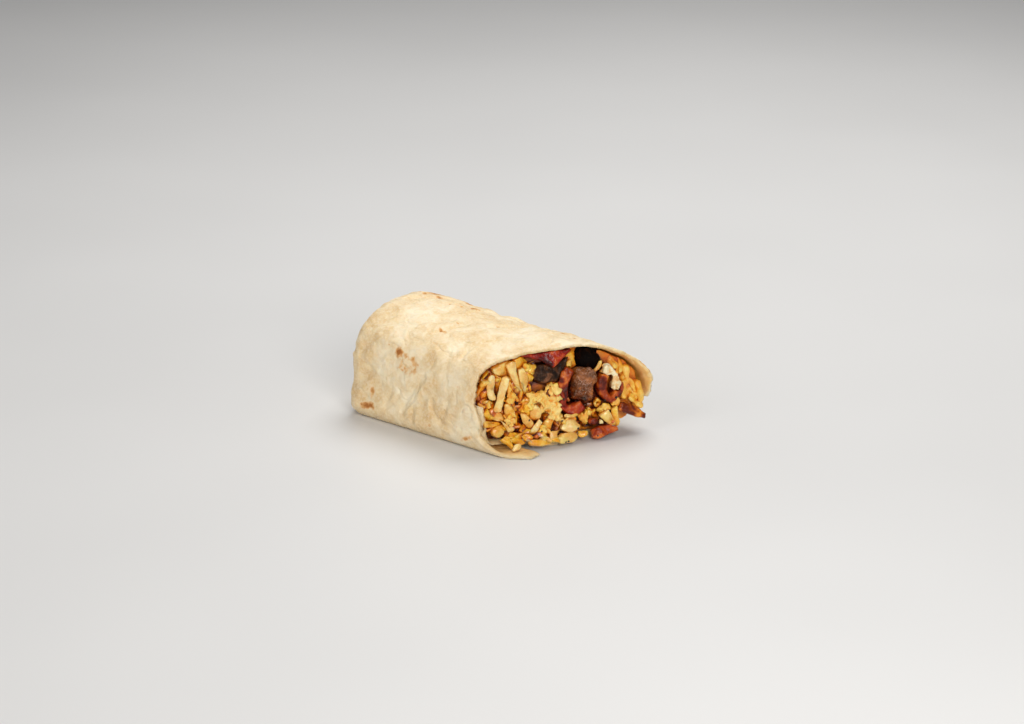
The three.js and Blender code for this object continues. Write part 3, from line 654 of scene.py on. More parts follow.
def cooked_mushroom(name, dark, middle, light, gloss, wet_and_glints, shine, oil):
    """Fried mushroom: wet and dark, with fine gills or pores, and a net of light lines painted in as glints.
    """
    paint = Paint(name)
    cloud = paint.grain(3.6, 4.0, 0.55, 0.6)
    colour = paint.ramp(cloud, (0.36, dark), (0.52, middle), (0.7, light))
    amber = paint.blend(cloud, (0.2, 0.045, 0.008), (0.62, 0.24, 0.05))
    colour = paint.blend(paint.stored("amber"), colour, amber)
    # Painted glints: thin light lines in patches, where a wet surface would catch the lamps
    lines = abs(paint.grain(2.0, 3.0, 0.55, 1.0) - 0.5)
    painted_glints = paint.between(lines, 0.024, 0.0) * paint.between(paint.grain(4.4, 1.0), 0.42, 0.56)
    colour = paint.shaded(paint.blend(painted_glints * wet_and_glints, colour, (0.7, 0.45, 0.33)))
    pores = paint.grain(1.3, 4.0, 0.65) * 0.7 + paint.grain(0.45, 2.0) * 0.3
    rough = paint.grain(0.9, 3.0) * 0.4 + gloss
    return paint.finished(colour, rough, (pores, 0.5 + 0.6 * oil, 0.8, oil), (0.7 * wet_and_glints, 0.08), shine)


def two_tone(name, size, detail, low, high, rough, flesh=None):
    """A plain fine-grained material, with two stops of colour."""
    paint = Paint(name)
    return paint.finished(paint.ramp(paint.grain(size, detail), low, high), rough, flesh=flesh)


def dress(piece, material):
    piece.data.materials.clear()
    piece.data.materials.append(material)


# The camera, the floor and the light

VIEW_AZIMUTH = math.radians(38)
VIEW_ELEVATION = math.radians(21)
VIEW_DISTANCE = 1045.0
VIEW_TARGET = np.array([-69.5, 51.4, 0.0])
LENS = 88.07


def add_camera():
    level = math.cos(VIEW_ELEVATION)
    away = Vector((math.sin(VIEW_AZIMUTH) * level, -math.cos(VIEW_AZIMUTH) * level, math.sin(VIEW_ELEVATION)))
    camera = new_object("camera", bpy.data.cameras.new("camera"))
    camera.data.lens = LENS
    camera.location = Vector((VIEW_TARGET + PLACE) * MM) + away * VIEW_DISTANCE * MM
    camera.rotation_euler = (-away).to_track_quat("-Z", "Y").to_euler()
    bpy.context.scene.camera = camera


def soft_lamp(name, place, size, power, warmth):
    """A round lamp that faces the middle of the part."""
    lamp = bpy.data.lights.new(name, "AREA")
    lamp.shape = "DISK"
    lamp.size, lamp.energy, lamp.color = size, power, warmth
    held = new_object(name, lamp)
    held.location = place
    held.rotation_euler = (Vector((0.0, 0.0, 0.02)) - Vector(place)).to_track_quat("-Z", "Y").to_euler()


def studio():
    bpy.ops.mesh.primitive_plane_add(size=6)
    floor = bpy.context.object
    floor.name = "floor"
    low, high = (0.3, (0.7, 0.697, 0.692)), (0.7, (0.74, 0.737, 0.732))
    dress(floor, two_tone("pale_floor", 220, 2.0, low, high, 0.45))
    world = bpy.data.worlds.new("studio")
    bpy.context.scene.world = world
    world.use_nodes = True
    background = world.node_tree.nodes["Background"]
    background.inputs["Color"].default_value = (0.98, 0.98, 1.0, 1.0)
    background.inputs["Strength"].default_value = 0.14
    soft_lamp("overhead", (-0.1, 0.38, 0.75), 0.6, 5.3, (1.0, 0.99, 0.97))
    soft_lamp("front_left", (-0.3, -0.8, 0.55), 0.6, 2.5, (1.0, 0.98, 0.95))
    soft_lamp("front_right", (0.7, -0.45, 0.5), 0.5, 4.8, (1.0, 0.98, 0.95))
    bpy.context.scene.view_settings.view_transform = "Standard"


# The filling, placed on the cut: across the roll, up from the table and out of the cut

OUT_OF_CUT = Vector((math.cos(BIAS), -math.sin(BIAS), CUT_LEAN)).normalized()
ALONG_CUT = Vector((math.sin(BIAS), math.cos(BIAS), 0))
UP_CUT = OUT_OF_CUT.cross(ALONG_CUT).normalized()
CUT_TURN = Matrix((ALONG_CUT, UP_CUT, OUT_OF_CUT)).transposed()


def on_cut(y, z, out):
    return Vector((cut_x(y, z) + out / math.cos(BIAS), y, z))


def out_of_cut(spots):
    """How far each place stands out of the knife's plane."""
    return (spots[:, 0] - cut_x(spots[:, 1], spots[:, 2])) * math.cos(BIAS)


def filling_bumps(y, z):
    a = np.sin(1.7 * np.sin(0.6 * y) + 0.4)
    b = np.sin(0.8 * y + 1.3 * np.sin(0.7 * z) + 1.9)
    return (a + b + np.sin(1.1 * z + 3.1)) / 3


def filling_reach(y, z):
    """How far the filling stands out of the cut."""
    under_top = 6 * smooth(31, 37, z)
    round_mushrooms = 3 * smooth(24, 30, z) * smooth(-2, 3, y) * (1 - smooth(10, 14, y))
    spill = 4.5 * (1 - smooth(4, 10, z)) * smooth(-27, -20, y) * (1 - smooth(-14, 2, y))
    return -1.9 - under_top - round_mushrooms + spill + 0.8 * filling_bumps(0.55 * y, 0.6 * z)


def inside_outline(y, z, margin):
    half, power = side_of(y < CENTRE_Y, z < WIDEST_Z)
    across = abs(y - CENTRE_Y) / (half - margin)
    up = abs(z - WIDEST_Z) / ((WIDEST_Z if z < WIDEST_Z else TOP_RISE) - margin)
    return across**power + up**power < 1


def kept_inside(piece):
    """Draws what would stand in the sheet back inside it."""
    spots, _ = places_of(piece)
    y, z = spots[:, 1] - CENTRE_Y, spots[:, 2] - WIDEST_Z
    below = z < 0
    half, power = side_of(y < 0, below)
    across = np.abs(y) / (half - 2.8)
    up = np.abs(z) / np.where(below, WIDEST_Z - 2.1, TOP_RISE - 2.6)
    share = (across**power + up**power) ** (1 / power)
    held = (share > 1) & (out_of_cut(spots) < np.where(below, 3, 0.5))
    drawn = np.where(held, 1 / np.maximum(share, 1), 1.0)
    set_places(piece, np.stack([spots[:, 0], CENTRE_Y + y * drawn, WIDEST_Z + z * drawn], -1))


def plain_mesh(piece, name):
    """Turns a piece's modifiers into a plain mesh and removes them."""
    graph = bpy.context.evaluated_depsgraph_get()
    shaped_now = piece.evaluated_get(graph)
    mesh = bpy.data.meshes.new_from_object(shaped_now, preserve_all_data_layers=True, depsgraph=graph)
    piece.modifiers.clear()
    piece.data = mesh
    piece.name = mesh.name = name
    return piece


def solid_copy(node, name, depth=None, front=True):
    """A welded copy of a node's solid, or of its part in front of a depth from the cut's plane, or behind."""
    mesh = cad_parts[node].data.copy()
    mesh.name = name
    mesh.materials.clear()

    def halved(shell):
        plane = {"plane_co": (on_cut(0, WIDEST_Z, depth) + Vector(PLACE)) * MM, "plane_no": OUT_OF_CUT}
        whole = shell.verts[:] + shell.edges[:] + shell.faces[:]
        cut = bmesh.ops.bisect_plane(shell, geom=whole, clear_inner=front, clear_outer=not front, **plane)
        edges = [edge for edge in cut["geom_cut"] if isinstance(edge, bmesh.types.BMEdge)]
        bmesh.ops.holes_fill(shell, edges=edges)

    mended(mesh, weld=0.001, before=halved if depth is not None else None)
    return new_object(name, mesh)


def rounded(piece, voxel, passes):
    """Remeshes a piece finely and rounds it."""
    remesh = piece.modifiers.new("fine", "REMESH")
    remesh.mode = "VOXEL"
    remesh.voxel_size = voxel * MM
    soften = piece.modifiers.new("rounded", "SMOOTH")
    soften.factor = 0.5
    soften.iterations = passes
    plain_mesh(piece, piece.name)
    piece.data.shade_smooth()
    return piece


def joined(name, pieces):
    first = pieces[0]
    with bpy.context.temp_override(active_object=first, object=first, selected_editable_objects=pieces):
        bpy.ops.object.join()
    first.name = first.data.name = name
    return first


def cells(spots, size, seed):
    """How far each place lies from the two nearest of many scattered points."""
    shift = Vector((seed * 5.1, seed * 2.3, seed * 9.7))
    return np.array([noise.voronoi(Vector(spot) / size + shift)[0][:2] for spot in spots])


def round_bumps(spots, size, seed):
    """Domes that meet in creases, 0 to 1."""
    return 1 - np.clip(cells(spots, size, seed)[:, 0] / 0.75, 0, 1) ** 2


# Potato pieces that show at the cut. Each is an outline (across and up), its face's reach out of the cut,
# how much deeper it gets with height, its thickness, its yellowness and its browning
SHREDS_SEEN = [
    ([(-24.5, 32), (-22.5, 33.5), (-20.5, 35), (-18.5, 35.5), (-18.5, 33), (-20, 31), (-21.5, 28.5),
      (-22.5, 28.5), (-24, 29.5), (-24.5, 31)], -1.4, 0.12, 3.2, 0.25, 0),
    ([(-19.5, 30.5), (-18, 31), (-18, 28.5), (-18, 26), (-19, 25), (-19.5, 26.5)], -3.2, 0.1, 2.2, 1, 0.3),
    ([(-28, 30), (-27, 30.5), (-26, 29.5), (-26, 26.5), (-26.5, 23.5), (-26, 20.5), (-27, 20.5), (-28, 21),
      (-29, 23.5), (-29, 26.5), (-28.5, 28.5)], -0.2, -0.06, 2.8, -0.1, 0),
    ([(-28.5, 29.5), (-26.5, 31.5), (-25, 31.5), (-24, 29.5), (-24.5, 27.5), (-26.5, 27.5), (-27.5, 26),
      (-28.5, 25.5), (-29, 28)], -2.4, 0.1, 2.4, 1, 0.45),
    ([(-25.5, 27.5), (-23.5, 28.5), (-22.5, 28.5), (-23.5, 26), (-25, 23), (-25.5, 22.5)], -1.2, 0, 2, 0.9,
      0.4),
    ([(-25, 29.5), (-23.5, 30), (-22, 28.5), (-23, 26), (-24, 23.5), (-24.5, 20.5), (-25.5, 16), (-27, 16),
      (-28.5, 16.5), (-28, 19), (-27, 22), (-26.5, 25.5), (-25.5, 28)], 1.2, -0.08, 3.2, 0.1, 0),
    ([(-20, 33), (-18, 34.5), (-17, 33.5), (-17.5, 31), (-17.5, 28.5), (-17.5, 25.5), (-17.5, 22),
      (-18, 21.5), (-19, 23.5), (-19.5, 25.5), (-20, 28.5), (-20, 30.5)], -0.4, 0.16, 2.8, 0.3, 0),
    ([(-16.5, 35.5), (-15, 36.5), (-14, 35.5), (-12.5, 33), (-13, 32), (-15, 30), (-16, 30), (-17, 31.5),
      (-17, 33.5)], -1.8, 0.1, 3.2, 0.95, 0),
    ([(-16.5, 30.5), (-14.5, 31), (-14, 29), (-14, 26), (-15.5, 23.5), (-15, 22.5), (-16.5, 20), (-17, 22),
      (-17, 27.5)], -0.4, 0.1, 2.6, 0.2, 0),
    ([(-24, 18.5), (-23, 18.5), (-22, 17.5), (-21, 15.5), (-21, 14), (-20.5, 13), (-21.5, 13), (-23, 13.5),
      (-24.5, 14), (-25, 16)], 0.6, 0.1, 2.8, 0.45, 0.1),
    ([(-26, 12.5), (-24.5, 11), (-22, 8.5), (-22.5, 7.5), (-24, 7), (-25, 9.5)], 0.8, -0.1, 2.4, 0.2, 0),
    ([(-31.5, 17), (-30.5, 19), (-28.5, 20), (-26.5, 20), (-25.5, 18.5), (-27, 18), (-29, 17.5),
      (-30.5, 16.5), (-31, 15.5)], -2.4, 0, 1.4, 0.05, 0),
    ([(-31, 17), (-28.5, 17.5), (-26.5, 17.5), (-24.5, 15), (-24, 12), (-25.5, 12), (-27.5, 12.5),
      (-29.5, 13.5), (-30.5, 15.5)], -0.8, 0.15, 3, 0.6, 0.15),
    ([(-31, 13), (-28.5, 12.5), (-26.5, 12), (-25, 11), (-26, 10), (-30.5, 10), (-31, 11.5)], -0.6, -0.1,
      2.4, 0.85, 0.5),
    ([(-28.5, 9.5), (-27, 10.5), (-25, 11), (-25, 9.5), (-25.5, 7.5), (-27, 6), (-28.5, 7), (-29, 8.5)],
      0.2, 0.1, 2.6, 0.6, 0.35),
    ([(-29, 6.5), (-28, 7), (-27, 7.5), (-26, 7), (-26, 5), (-25.5, 3.5), (-25.5, 2), (-26, 2),
      (-26.5, 3.5), (-27, 4.5), (-28, 5.5)], 3.8, 0.3, 1.5, 1.1, 0.55),
    ([(-25.5, 5.5), (-23.5, 6), (-21.5, 5), (-21, 3.5), (-23, 3), (-25, 4)], 3.2, 0.2, 2.4, 0.9, 0.45),
    ([(-22, 6.5), (-19.5, 7), (-17.5, 5.5), (-18.5, 4), (-21, 4.2)], 3, 0.2, 2.2, 0.9, 0.5),
    ([(-17.5, 4.8), (-14.5, 5.2), (-12, 4.2), (-12.5, 3), (-16, 3)], 4.2, 0.2, 2, 0.5, 0.1),
    ([(-12.5, 4.4), (-9.5, 4.8), (-7, 3.8), (-8, 2.8), (-11, 2.9)], 4.4, 0.2, 2, 0.9, 0.4),
    ([(-23, 5.5), (-21, 6.5), (-19.5, 7), (-18, 5.5), (-17.5, 3.5), (-19, 3), (-21, 3), (-22.5, 2),
      (-23, 3.5)], 1.6, 0.2, 3, 0.7, 0.5),
    ([(-19, 14), (-17.5, 13.5), (-16, 11.5), (-15, 10), (-15.5, 9), (-17, 7.5), (-18, 8.5), (-19, 10.5)],
      0.6, 0.1, 2.8, 0.35, 0),
    ([(-16, 15), (-14.5, 16.5), (-13, 15.5), (-12.5, 14.5), (-12.5, 12), (-13, 11), (-14.5, 10.5),
      (-16, 11), (-16.5, 12), (-16.5, 14)], 1.2, -0.1, 2.8, 0.3, 0),
    ([(-13.5, 11.5), (-12.5, 10), (-13.5, 9), (-14.5, 7.5), (-16, 6), (-17.5, 6), (-18.5, 6.5),
      (-17.5, 7.5), (-16, 9), (-14.5, 10.5)], 1.8, 0.1, 2.4, 0, 0),
    ([(-11.5, 6.5), (-9.5, 6.5), (-7, 7.5), (-8.5, 6), (-9.5, 5), (-9, 3), (-9.5, 2.2), (-11, 2.4),
      (-12, 3.5), (-12, 5)], 3.2, 0.15, 2.2, 0.15, 0),
    ([(-19, 5.5), (-17, 6), (-14.5, 5.5), (-12.5, 4.5), (-11, 3.4), (-10, 2.6), (-11, 2.2), (-13, 2.8),
      (-15, 3.2), (-17.5, 4)], 3.6, 0.1, 2.6, 0.4, 0),
    ([(-20.5, 4.5), (-18.5, 5), (-16, 4.5), (-13.5, 4), (-12.5, 3.2), (-14, 2.6), (-16, 2.4), (-18, 2.6),
      (-20, 3.4)], 4.6, 0.3, 2.2, 0.8, 0.35),
    ([(-27.5, 3.2), (-26.5, 4.6), (-24.5, 4.8), (-24.6, 3.4), (-26, 2.4), (-27.5, 2.4)], 6, 0.2, 1.5, 0, 0),
    ([(-4, 12), (-2, 11.5), (0, 12), (1, 12), (0, 10.5), (-1.5, 10), (-3, 10.5), (-4, 11)], 1.6, 0, 1.3,
      0.5, 0),
    ([(-7, 8.5), (-4, 10.5), (-2, 9.5), (-0.5, 7), (-2, 6), (-4.5, 5), (-6.5, 6), (-7.5, 7)], 2.8, 0.1, 3,
      0.3, 0),
    ([(-9, 4), (-7, 5.5), (-5, 5.5), (-3, 4.5), (-3, 3), (-3.5, 2), (-5.5, 1.5), (-7.5, 1.5), (-9, 2)], 4,
      0.15, 3, 0.5, 0.1),
    ([(-1.5, 5), (0.5, 5), (2, 4.5), (1.5, 3), (-0.5, 2.5), (-2, 3)], 2.6, 0.2, 2.6, 0.9, 0.2),
    ([(6, 7.5), (7, 8), (7.5, 7.5), (7.5, 6.5), (6, 6.5)], 2.8, 0, 2, -0.3, 0),
    ([(7.5, 9), (9.5, 10.5), (11.5, 11.3), (11.8, 9), (12.2, 6.5), (12, 5), (10, 5.5), (8.5, 7)], 2, 0.2,
      3.4, 0.4, 0),
    ([(11.4, 11.3), (12.5, 11.7), (14, 12), (14, 8.5), (14.5, 6.5), (15, 6), (14.5, 4), (13.5, 3.5),
      (12, 4.6), (12.1, 7), (11.7, 9.5)], 1.3, -0.1, 3.6, 0.7, 0),
    ([(8, 13.5), (9.5, 15.5), (11, 14), (10.5, 12.5), (9.5, 11.5), (8, 12)], -0.8, 0, 2.2, 0.7, 0.3),
    ([(11, 27.5), (12, 29.5), (13, 29.5), (13, 27.5), (12, 26.5), (10, 25.5), (9.5, 26)], -1.6, 0, 1.4, 0.2,
      0),
]

# Egg curds and folds, given the same way, with a paleness last. The last few are the folds at the far side
FAR_FOLDS = 8
CURDS_SEEN = [
    ([(-22, 24.5), (-20.5, 24.5), (-19.5, 23.5), (-19.5, 21.5), (-18.5, 21), (-18.5, 20), (-20, 19.5),
      (-22.5, 19), (-23.5, 20), (-23, 22)], 0, 0.1, 4, 0.3),
    ([(-20, 26.5), (-18.5, 25), (-18, 22), (-20, 23.5), (-21, 24), (-21, 25.5)], -1.2, 0.1, 2.6, 0.1),
    ([(-25.5, 14), (-24, 14.5), (-23, 13.5), (-21.5, 12), (-22, 10.5), (-23, 9.5), (-24, 10), (-25, 11),
      (-26, 12.5)], 1.8, 0.15, 3.4, 0.6),
    ([(-21, 17), (-18.5, 18.5), (-16.5, 19), (-15, 18.5), (-14.5, 17.5), (-14.5, 15.5), (-15.5, 14),
      (-18, 14.5), (-20, 15.5)], -0.4, 0.2, 3.6, 0),
    ([(-15.5, 21), (-14.5, 22), (-13.5, 21), (-13.5, 18.5), (-14.5, 16.5), (-16, 16), (-16, 18)], 0.8, 0.1,
      3.4, 0.5),
    ([(-13, 19), (-11.5, 21), (-10, 21.5), (-8.5, 19.5), (-8, 16.5), (-9.5, 14.5), (-10.5, 12.5),
      (-11.5, 14), (-11.5, 16), (-13, 17)], 0.8, 0.1, 5, 0.6),
    ([(-11, 22.5), (-8.5, 24), (-6.5, 24), (-5.5, 22.5), (-5.5, 20.5), (-4.5, 19.5), (-5.5, 17), (-7, 17.5),
      (-8.5, 18.5), (-10, 20.5)], 1.2, 0.15, 5.2, 0.75),
    ([(-8, 18), (-6, 18), (-4.5, 17), (-5, 14.5), (-6, 12.5), (-5, 10.5), (-6.5, 9), (-8.5, 9.5), (-10, 11),
      (-9.5, 14)], 1, 0, 4.8, 0.9),
    ([(-14.5, 8.5), (-12.5, 9), (-11, 8.5), (-10.5, 7), (-11, 5.5), (-12.5, 5.5), (-14, 6), (-14.5, 7)],
      2.4, 0.1, 4.4, 0.4),
    ([(-5.5, 10), (-2.5, 10.5), (-1, 9.5), (-2, 7), (-4, 6.5), (-5.5, 7.5)], 1.2, 0.1, 3.6, 0.6),
    ([(0, 10), (1.5, 11), (4, 12), (4.5, 10), (3.5, 8.5), (2.5, 7), (1, 8)], 1.2, 0.1, 3.6, 0.3),
    ([(3, 12.5), (4, 13), (6, 12.5), (7.5, 11), (7, 9.5), (5.5, 9.5), (5, 11.5)], -0.2, 0.1, 3, 0.1),
    ([(8.5, 12), (10, 13), (11.5, 13), (12, 11.5), (11, 10.5), (9.5, 10.5), (8.5, 11)], 1.6, 0.1, 3.4, 0.4),
    ([(13, 13), (15.5, 15.5), (16, 14.5), (16, 12.5), (15, 11.5), (13, 12.5)], 0.8, 0.1, 3.4, 0.35),
    ([(19, 14), (20.5, 15), (21.5, 13), (21, 12), (20, 12)], 0.6, 0.1, 3.2, 0.3),
    ([(22, 12), (23, 12.5), (25, 12), (24.5, 10.5), (24, 9.5), (22.5, 10), (22, 11)], 0.6, 0.1, 3.4, 0.4),
    ([(14.5, 32.5), (17, 31.5), (18.5, 29.5), (20.5, 27), (21, 25), (20, 23), (19.5, 22.5), (18, 26),
      (16, 29), (14, 31)], -3.2, 0.1, 3, 0.1),
    ([(20, 26), (21.5, 26), (22.5, 25), (22.5, 23.5), (22, 21.5), (21.5, 20), (20.5, 21.5), (20, 23)], -1.8,
      0.1, 2.8, 0.4),
    ([(21, 20.5), (22.5, 21.5), (23, 19.5), (23.5, 16.5), (23, 15.5), (22, 16.5), (21, 18.5)], -0.8, 0.1, 3,
      0.1),
    ([(19, 21), (20.5, 21), (20.5, 18.5), (20, 16), (19, 13.5), (18, 15), (18, 18)], -0.6, 0.1, 3, 0.3),
    ([(25, 18), (26.5, 19), (26.5, 16), (25.5, 13.5), (24, 12), (24, 13.5), (25, 16)], -2, 0.1, 2.6, 0),
    ([(17, 24.5), (18, 24.5), (18, 22), (17.5, 21), (16.5, 23.5)], -1.2, 0.1, 2.6, 0.5),
]

# Pepper and small orange bits: across and up
PEPPER_SEEN = [
    (-6.8, 21.1), (-20, 8.7), (-12.7, 3.7), (-15.5, 10.3), (-6.1, 11), (-23.4, 13.4), (15.2, 6.4),
]
BITS_SEEN = [
    (-5.4, 9), (-12.6, 21.9), (-13.4, 21.7), (-7.7, 18.1), (-22, 7), (4.6, 7.1), (5.5, 8.2), (-7.4, 17.7),
]

# Where the meats and mushrooms stand: across, up and radius
KEPT_CLEAR = [
    (-12, 35, 4.5), (-5, 33.5, 6), (-8, 27.5, 5), (-2, 28, 5), (10.6, 30.6, 6.8), (6.4, 21.4, 7),
    (-1.5, 24, 4.2), (0, 14, 4.2), (14.4, 22, 5.4), (14.6, 16.6, 4), (20, 9.5, 3), (9, 3.5, 4),
    (5.4, 7.4, 2.4),
]


def cut_corners(outline, share):
    """Cuts the corners off a closed outline, each at a share of its sides."""
    following = np.roll(outline, -1, axis=0)
    return np.stack([mix(outline, following, share), mix(outline, following, 1 - share)], 1).reshape(-1, 2)


def covers(outline, y, z):
    """Whether a place lies inside an outline."""
    inside = False
    for (y0, z0), (y1, z1) in zip(outline, outline[1:] + outline[:1]):
        if (z0 > z) != (z1 > z) and y < y0 + (z - z0) * (y1 - y0) / (z1 - z0):
            inside = not inside
    return inside


def length_round(ring):
    return np.sum(np.hypot(*(np.roll(ring, -1, axis=0) - ring).T))


def evenly_spaced(ring, count):
    """A closed outline with its points at even steps along it."""
    closed = np.vstack([ring, ring[:1]])
    run = np.concatenate([[0], np.cumsum(np.hypot(*np.diff(closed, axis=0).T))])
    places = np.linspace(0, run[-1], count, endpoint=False)
    return np.stack([np.interp(places, run, closed[:, 0]), np.interp(places, run, closed[:, 1])], -1)


def drawn_in(ring, distance):
    """A closed outline moved inwards, in small steps that keep its corners from crossing."""
    steps = max(1, math.ceil(distance / 0.08))
    for _ in range(steps):
        along = np.roll(ring, -1, axis=0) - np.roll(ring, 1, axis=0)
        inwards = np.stack([-along[:, 1], along[:, 0]], -1) / np.maximum(np.hypot(*along.T), 1e-6)[:, None]
        ring = ring + inwards * distance / steps
        ring = 0.6 * ring + 0.2 * (np.roll(ring, 1, axis=0) + np.roll(ring, -1, axis=0))
        ring = evenly_spaced(ring, len(ring))
    return ring


def stacked_faces(count, rings):
    """The faces of rings that are stacked up, with a flat face at each end."""
    faces = []
    for low in range(0, (rings - 1) * count, count):
        for c in range(count):
            after = (c + 1) % count
            faces.append((low + c, low + after, low + count + after, low + count + c))
    return faces + [tuple(range(count - 1, -1, -1)), tuple(range((rings - 1) * count, rings * count))]


def slab(outline, out, backwards, thick, rounding, steps):
    """A flat piece with round edges on the cut: its points, its faces and how near its rim each point is."""
    line = cut_corners(np.array(outline, float), 0.12)
    line = evenly_spaced(line, max(24, round(length_round(line) / 0.4)))
    following = np.roll(line, -1, axis=0)
    area = np.sum(line[:, 0] * following[:, 1] - following[:, 0] * line[:, 1]) / 2
    width = 2 * abs(area) / length_round(line)
    if area < 0:
        line = line[::-1]
    middle_y, middle_z = line.mean(0)
    aside, leaning = 0.45 * math.sin(7 * middle_y), 0.3 * math.cos(5 * middle_z)
    facing = (OUT_OF_CUT + (backwards + leaning) * UP_CUT + aside * ALONG_CUT).normalized()
    radius, inmost = min(rounding, 0.45 * thick, 0.24 * width), 0.3 * width
    quarter = np.linspace(0, math.pi / 2, steps + 1)
    levels = [(radius * (1 - math.cos(a)), radius * (math.sin(a) - 1)) for a in quarter]
    levels += [(mix(radius, inmost, share), 0.05 * width * share) for share in (0.5, 1)]
    rings, last_inset, ring = [], 0.0, line
    for inset, height in levels:
        ring = drawn_in(ring, inset - last_inset) if inset > last_inset else ring
        last_inset = inset
        rings.append((ring, height, 1 - min(inset / inmost, 1)))
    rings = [(ring, -thick - height, rim) for ring, height, rim in rings[::-1]] + rings
    points, rims = [], []
    for ring, height, rim in rings:
        for y, z in ring:
            tilt = -aside * (y - middle_y) - leaning * (z - middle_z)
            spot = on_cut(y - tilt, z + 0.3 * tilt, out - backwards * (z - middle_z) + tilt)
            points.append(spot + facing * height)
        rims.extend([rim] * len(ring))
    return points, stacked_faces(len(line), len(rings)), rims


def slab_heap(name, rows, rounding, steps, marks):
    """All the flat pieces of a table as one mesh, with the table's last values marked on each."""
    points, faces = [], []
    kept = {key: [] for key in ("along",) + marks}
    for outline, out, backwards, thick, *values in rows:
        own, sides, rims = slab(outline, out, backwards, thick, rounding, steps)
        faces.extend([tuple(v + len(points) for v in side) for side in sides])
        points.extend(own)
        kept["along"].extend(rims)
        for key, value in zip(marks, values):
            kept[key].extend([value] * len(own))
    piece = mesh_piece(name, points, faces)
    for key, values in kept.items():
        mark(piece, key, values)
    mended(piece.data, split=True, outwards=False)
    return piece


def scatter(step, draw, margin, is_food):
    """Places over the cut on a jittered grid, inside the roll, clear of the meats and where that food is."""
    spots = []
    for z in np.arange(3, 37, step):
        for y in np.arange(-31, 28, step):
            across, up = y + draw.uniform(-0.5, 0.5) * step, z + draw.uniform(-0.5, 0.5) * step
            clear = all(math.hypot(across - cy, up - cz) > radius for cy, cz, radius in KEPT_CLEAR)
            if clear and inside_outline(across, up, margin) and is_food(across, up):
                spots.append((across, up))
    return spots


# What each point of a cloud keeps for the shape that is laid on it
LAID_MARKS = {
    "kind": "INT", "turn": "FLOAT_VECTOR", "size": "FLOAT_VECTOR", "rise": "FLOAT_VECTOR",
    "bend": "FLOAT", "tint": "FLOAT", "crisp": "FLOAT",
}


def laid_row(kind, y, z, angle, size, out, tilt=0.0, roll=0.0, bend=0.0, tint=0.0, crisp=0.0):
    """One point of a cloud: a shape that lies on the cut, at an angle in it and two out of it, in degrees."""
    turn = Matrix.Rotation(math.radians(angle), 3, "Z")
    turn = turn @ Matrix.Rotation(math.radians(tilt), 3, "Y") @ Matrix.Rotation(math.radians(roll), 3, "X")
    turn = CUT_TURN @ turn
    return {
        "kind": kind, "spot": on_cut(y, z, out), "turn": tuple(turn.to_euler("XYZ")),
        "size": tuple(side * MM for side in size), "rise": tuple(turn @ Vector((0, 0.35, 1)) * MM),
        "bend": bend, "tint": tint, "crisp": crisp,
    }


def point_cloud(name, rows):
    mesh = bpy.data.meshes.new(name)
    mesh.from_pydata([(row["spot"] + Vector(PLACE)) * MM for row in rows], [], [])
    for key, kind in LAID_MARKS.items():
        values = np.array([row[key] for row in rows], np.int32 if kind == "INT" else np.float32).ravel()
        field = "vector" if kind == "FLOAT_VECTOR" else "value"
        mesh.attributes.new(key, kind, "POINT").data.foreach_set(field, values)
    return new_object(name, mesh)


def unit_shape(name, points, faces, along=None):
    """A shape of about 1 across, to lay on points many times."""
    mesh = bpy.data.meshes.new(name)
    mesh.from_pydata(points, [], faces)
    if along is not None:
        mesh.attributes.new("along", "FLOAT", "POINT").data.foreach_set("value", along)
    mended(mesh)
    return new_object(name, mesh)


def strip_shape(kind):
    """One shred of potato: a flat-sided strip, 1 long, with uneven sides and slanting, torn ends."""
    draw = np.random.default_rng(100 + kind)
    sides = [(1, -0.7), (1, 0.7), (0.72, 1), (-0.72, 1), (-1, 0.7), (-1, -0.7), (-0.72, -1), (0.72, -1)]
    run = np.array([-1, -0.94, -0.55, -0.1, 0.3, 0.68, 0.95, 1])
    shrink = np.array([0.7, 1, 1, 1, 1, 1, 1, 0.66])
    narrow = (0, -0.2, 0.6, 0.25, 0.1, -0.1)[kind % 6]
    wide = 1 + draw.uniform(-0.1, 0.1, len(run)) - narrow * np.clip(run, 0, 1) ** 1.5
    thick = 1 + draw.uniform(-0.12, 0.08, len(run)) - 0.4 * narrow * np.clip(run, 0, 1)
    aside = draw.uniform(-0.2, 0.2) * run**2 + 0.08 * np.sin(3 * run + draw.uniform(0, 6))
    slants = draw.uniform(-0.09, 0.09, 2)
    twist = draw.uniform(-0.5, 0.5)
    points = []
    for i, at in enumerate(run):
        slant = slants[0] * max(0, -at) ** 3 + slants[1] * max(0, at) ** 3
        c, k = math.cos(twist * at), math.sin(twist * at)
        torn = draw.uniform(-0.02, 0.02, len(sides)) * abs(at) ** 4
        for (across, up), pull in zip(sides, torn):
            y, z = across * wide[i] * shrink[i] / 2, up * thick[i] * shrink[i] / 2
            points.append((at / 2 + slant * across + pull, aside[i] + y * c - z * k, y * k + z * c))
    faces = stacked_faces(len(sides), len(run))
    return unit_shape(f"strip_{kind}", points, faces, np.repeat(run, len(sides)))


def lump_shape(kind):
    """One curd or crumb: an uneven ball, 1 across."""
    shell = bmesh.new()
    bmesh.ops.create_icosphere(shell, subdivisions=2, radius=0.5)
    for vert in shell.verts:
        vert.co *= 1 + 0.45 * noise.noise(vert.co * 3.2 + Vector((kind * 3.7, kind * 1.9, 0)))
    points = [tuple(vert.co) for vert in shell.verts]
    faces = [tuple(vert.index for vert in face.verts) for face in shell.faces]
    shell.free()
    return unit_shape(f"lump_{kind}", points, faces)


def named(tree, name):
    kind = LAID_MARKS.get(name, "FLOAT")
    return add(tree, "GeometryNodeInputNamedAttribute", {"Name": name}, data_type=kind).outputs["Attribute"]


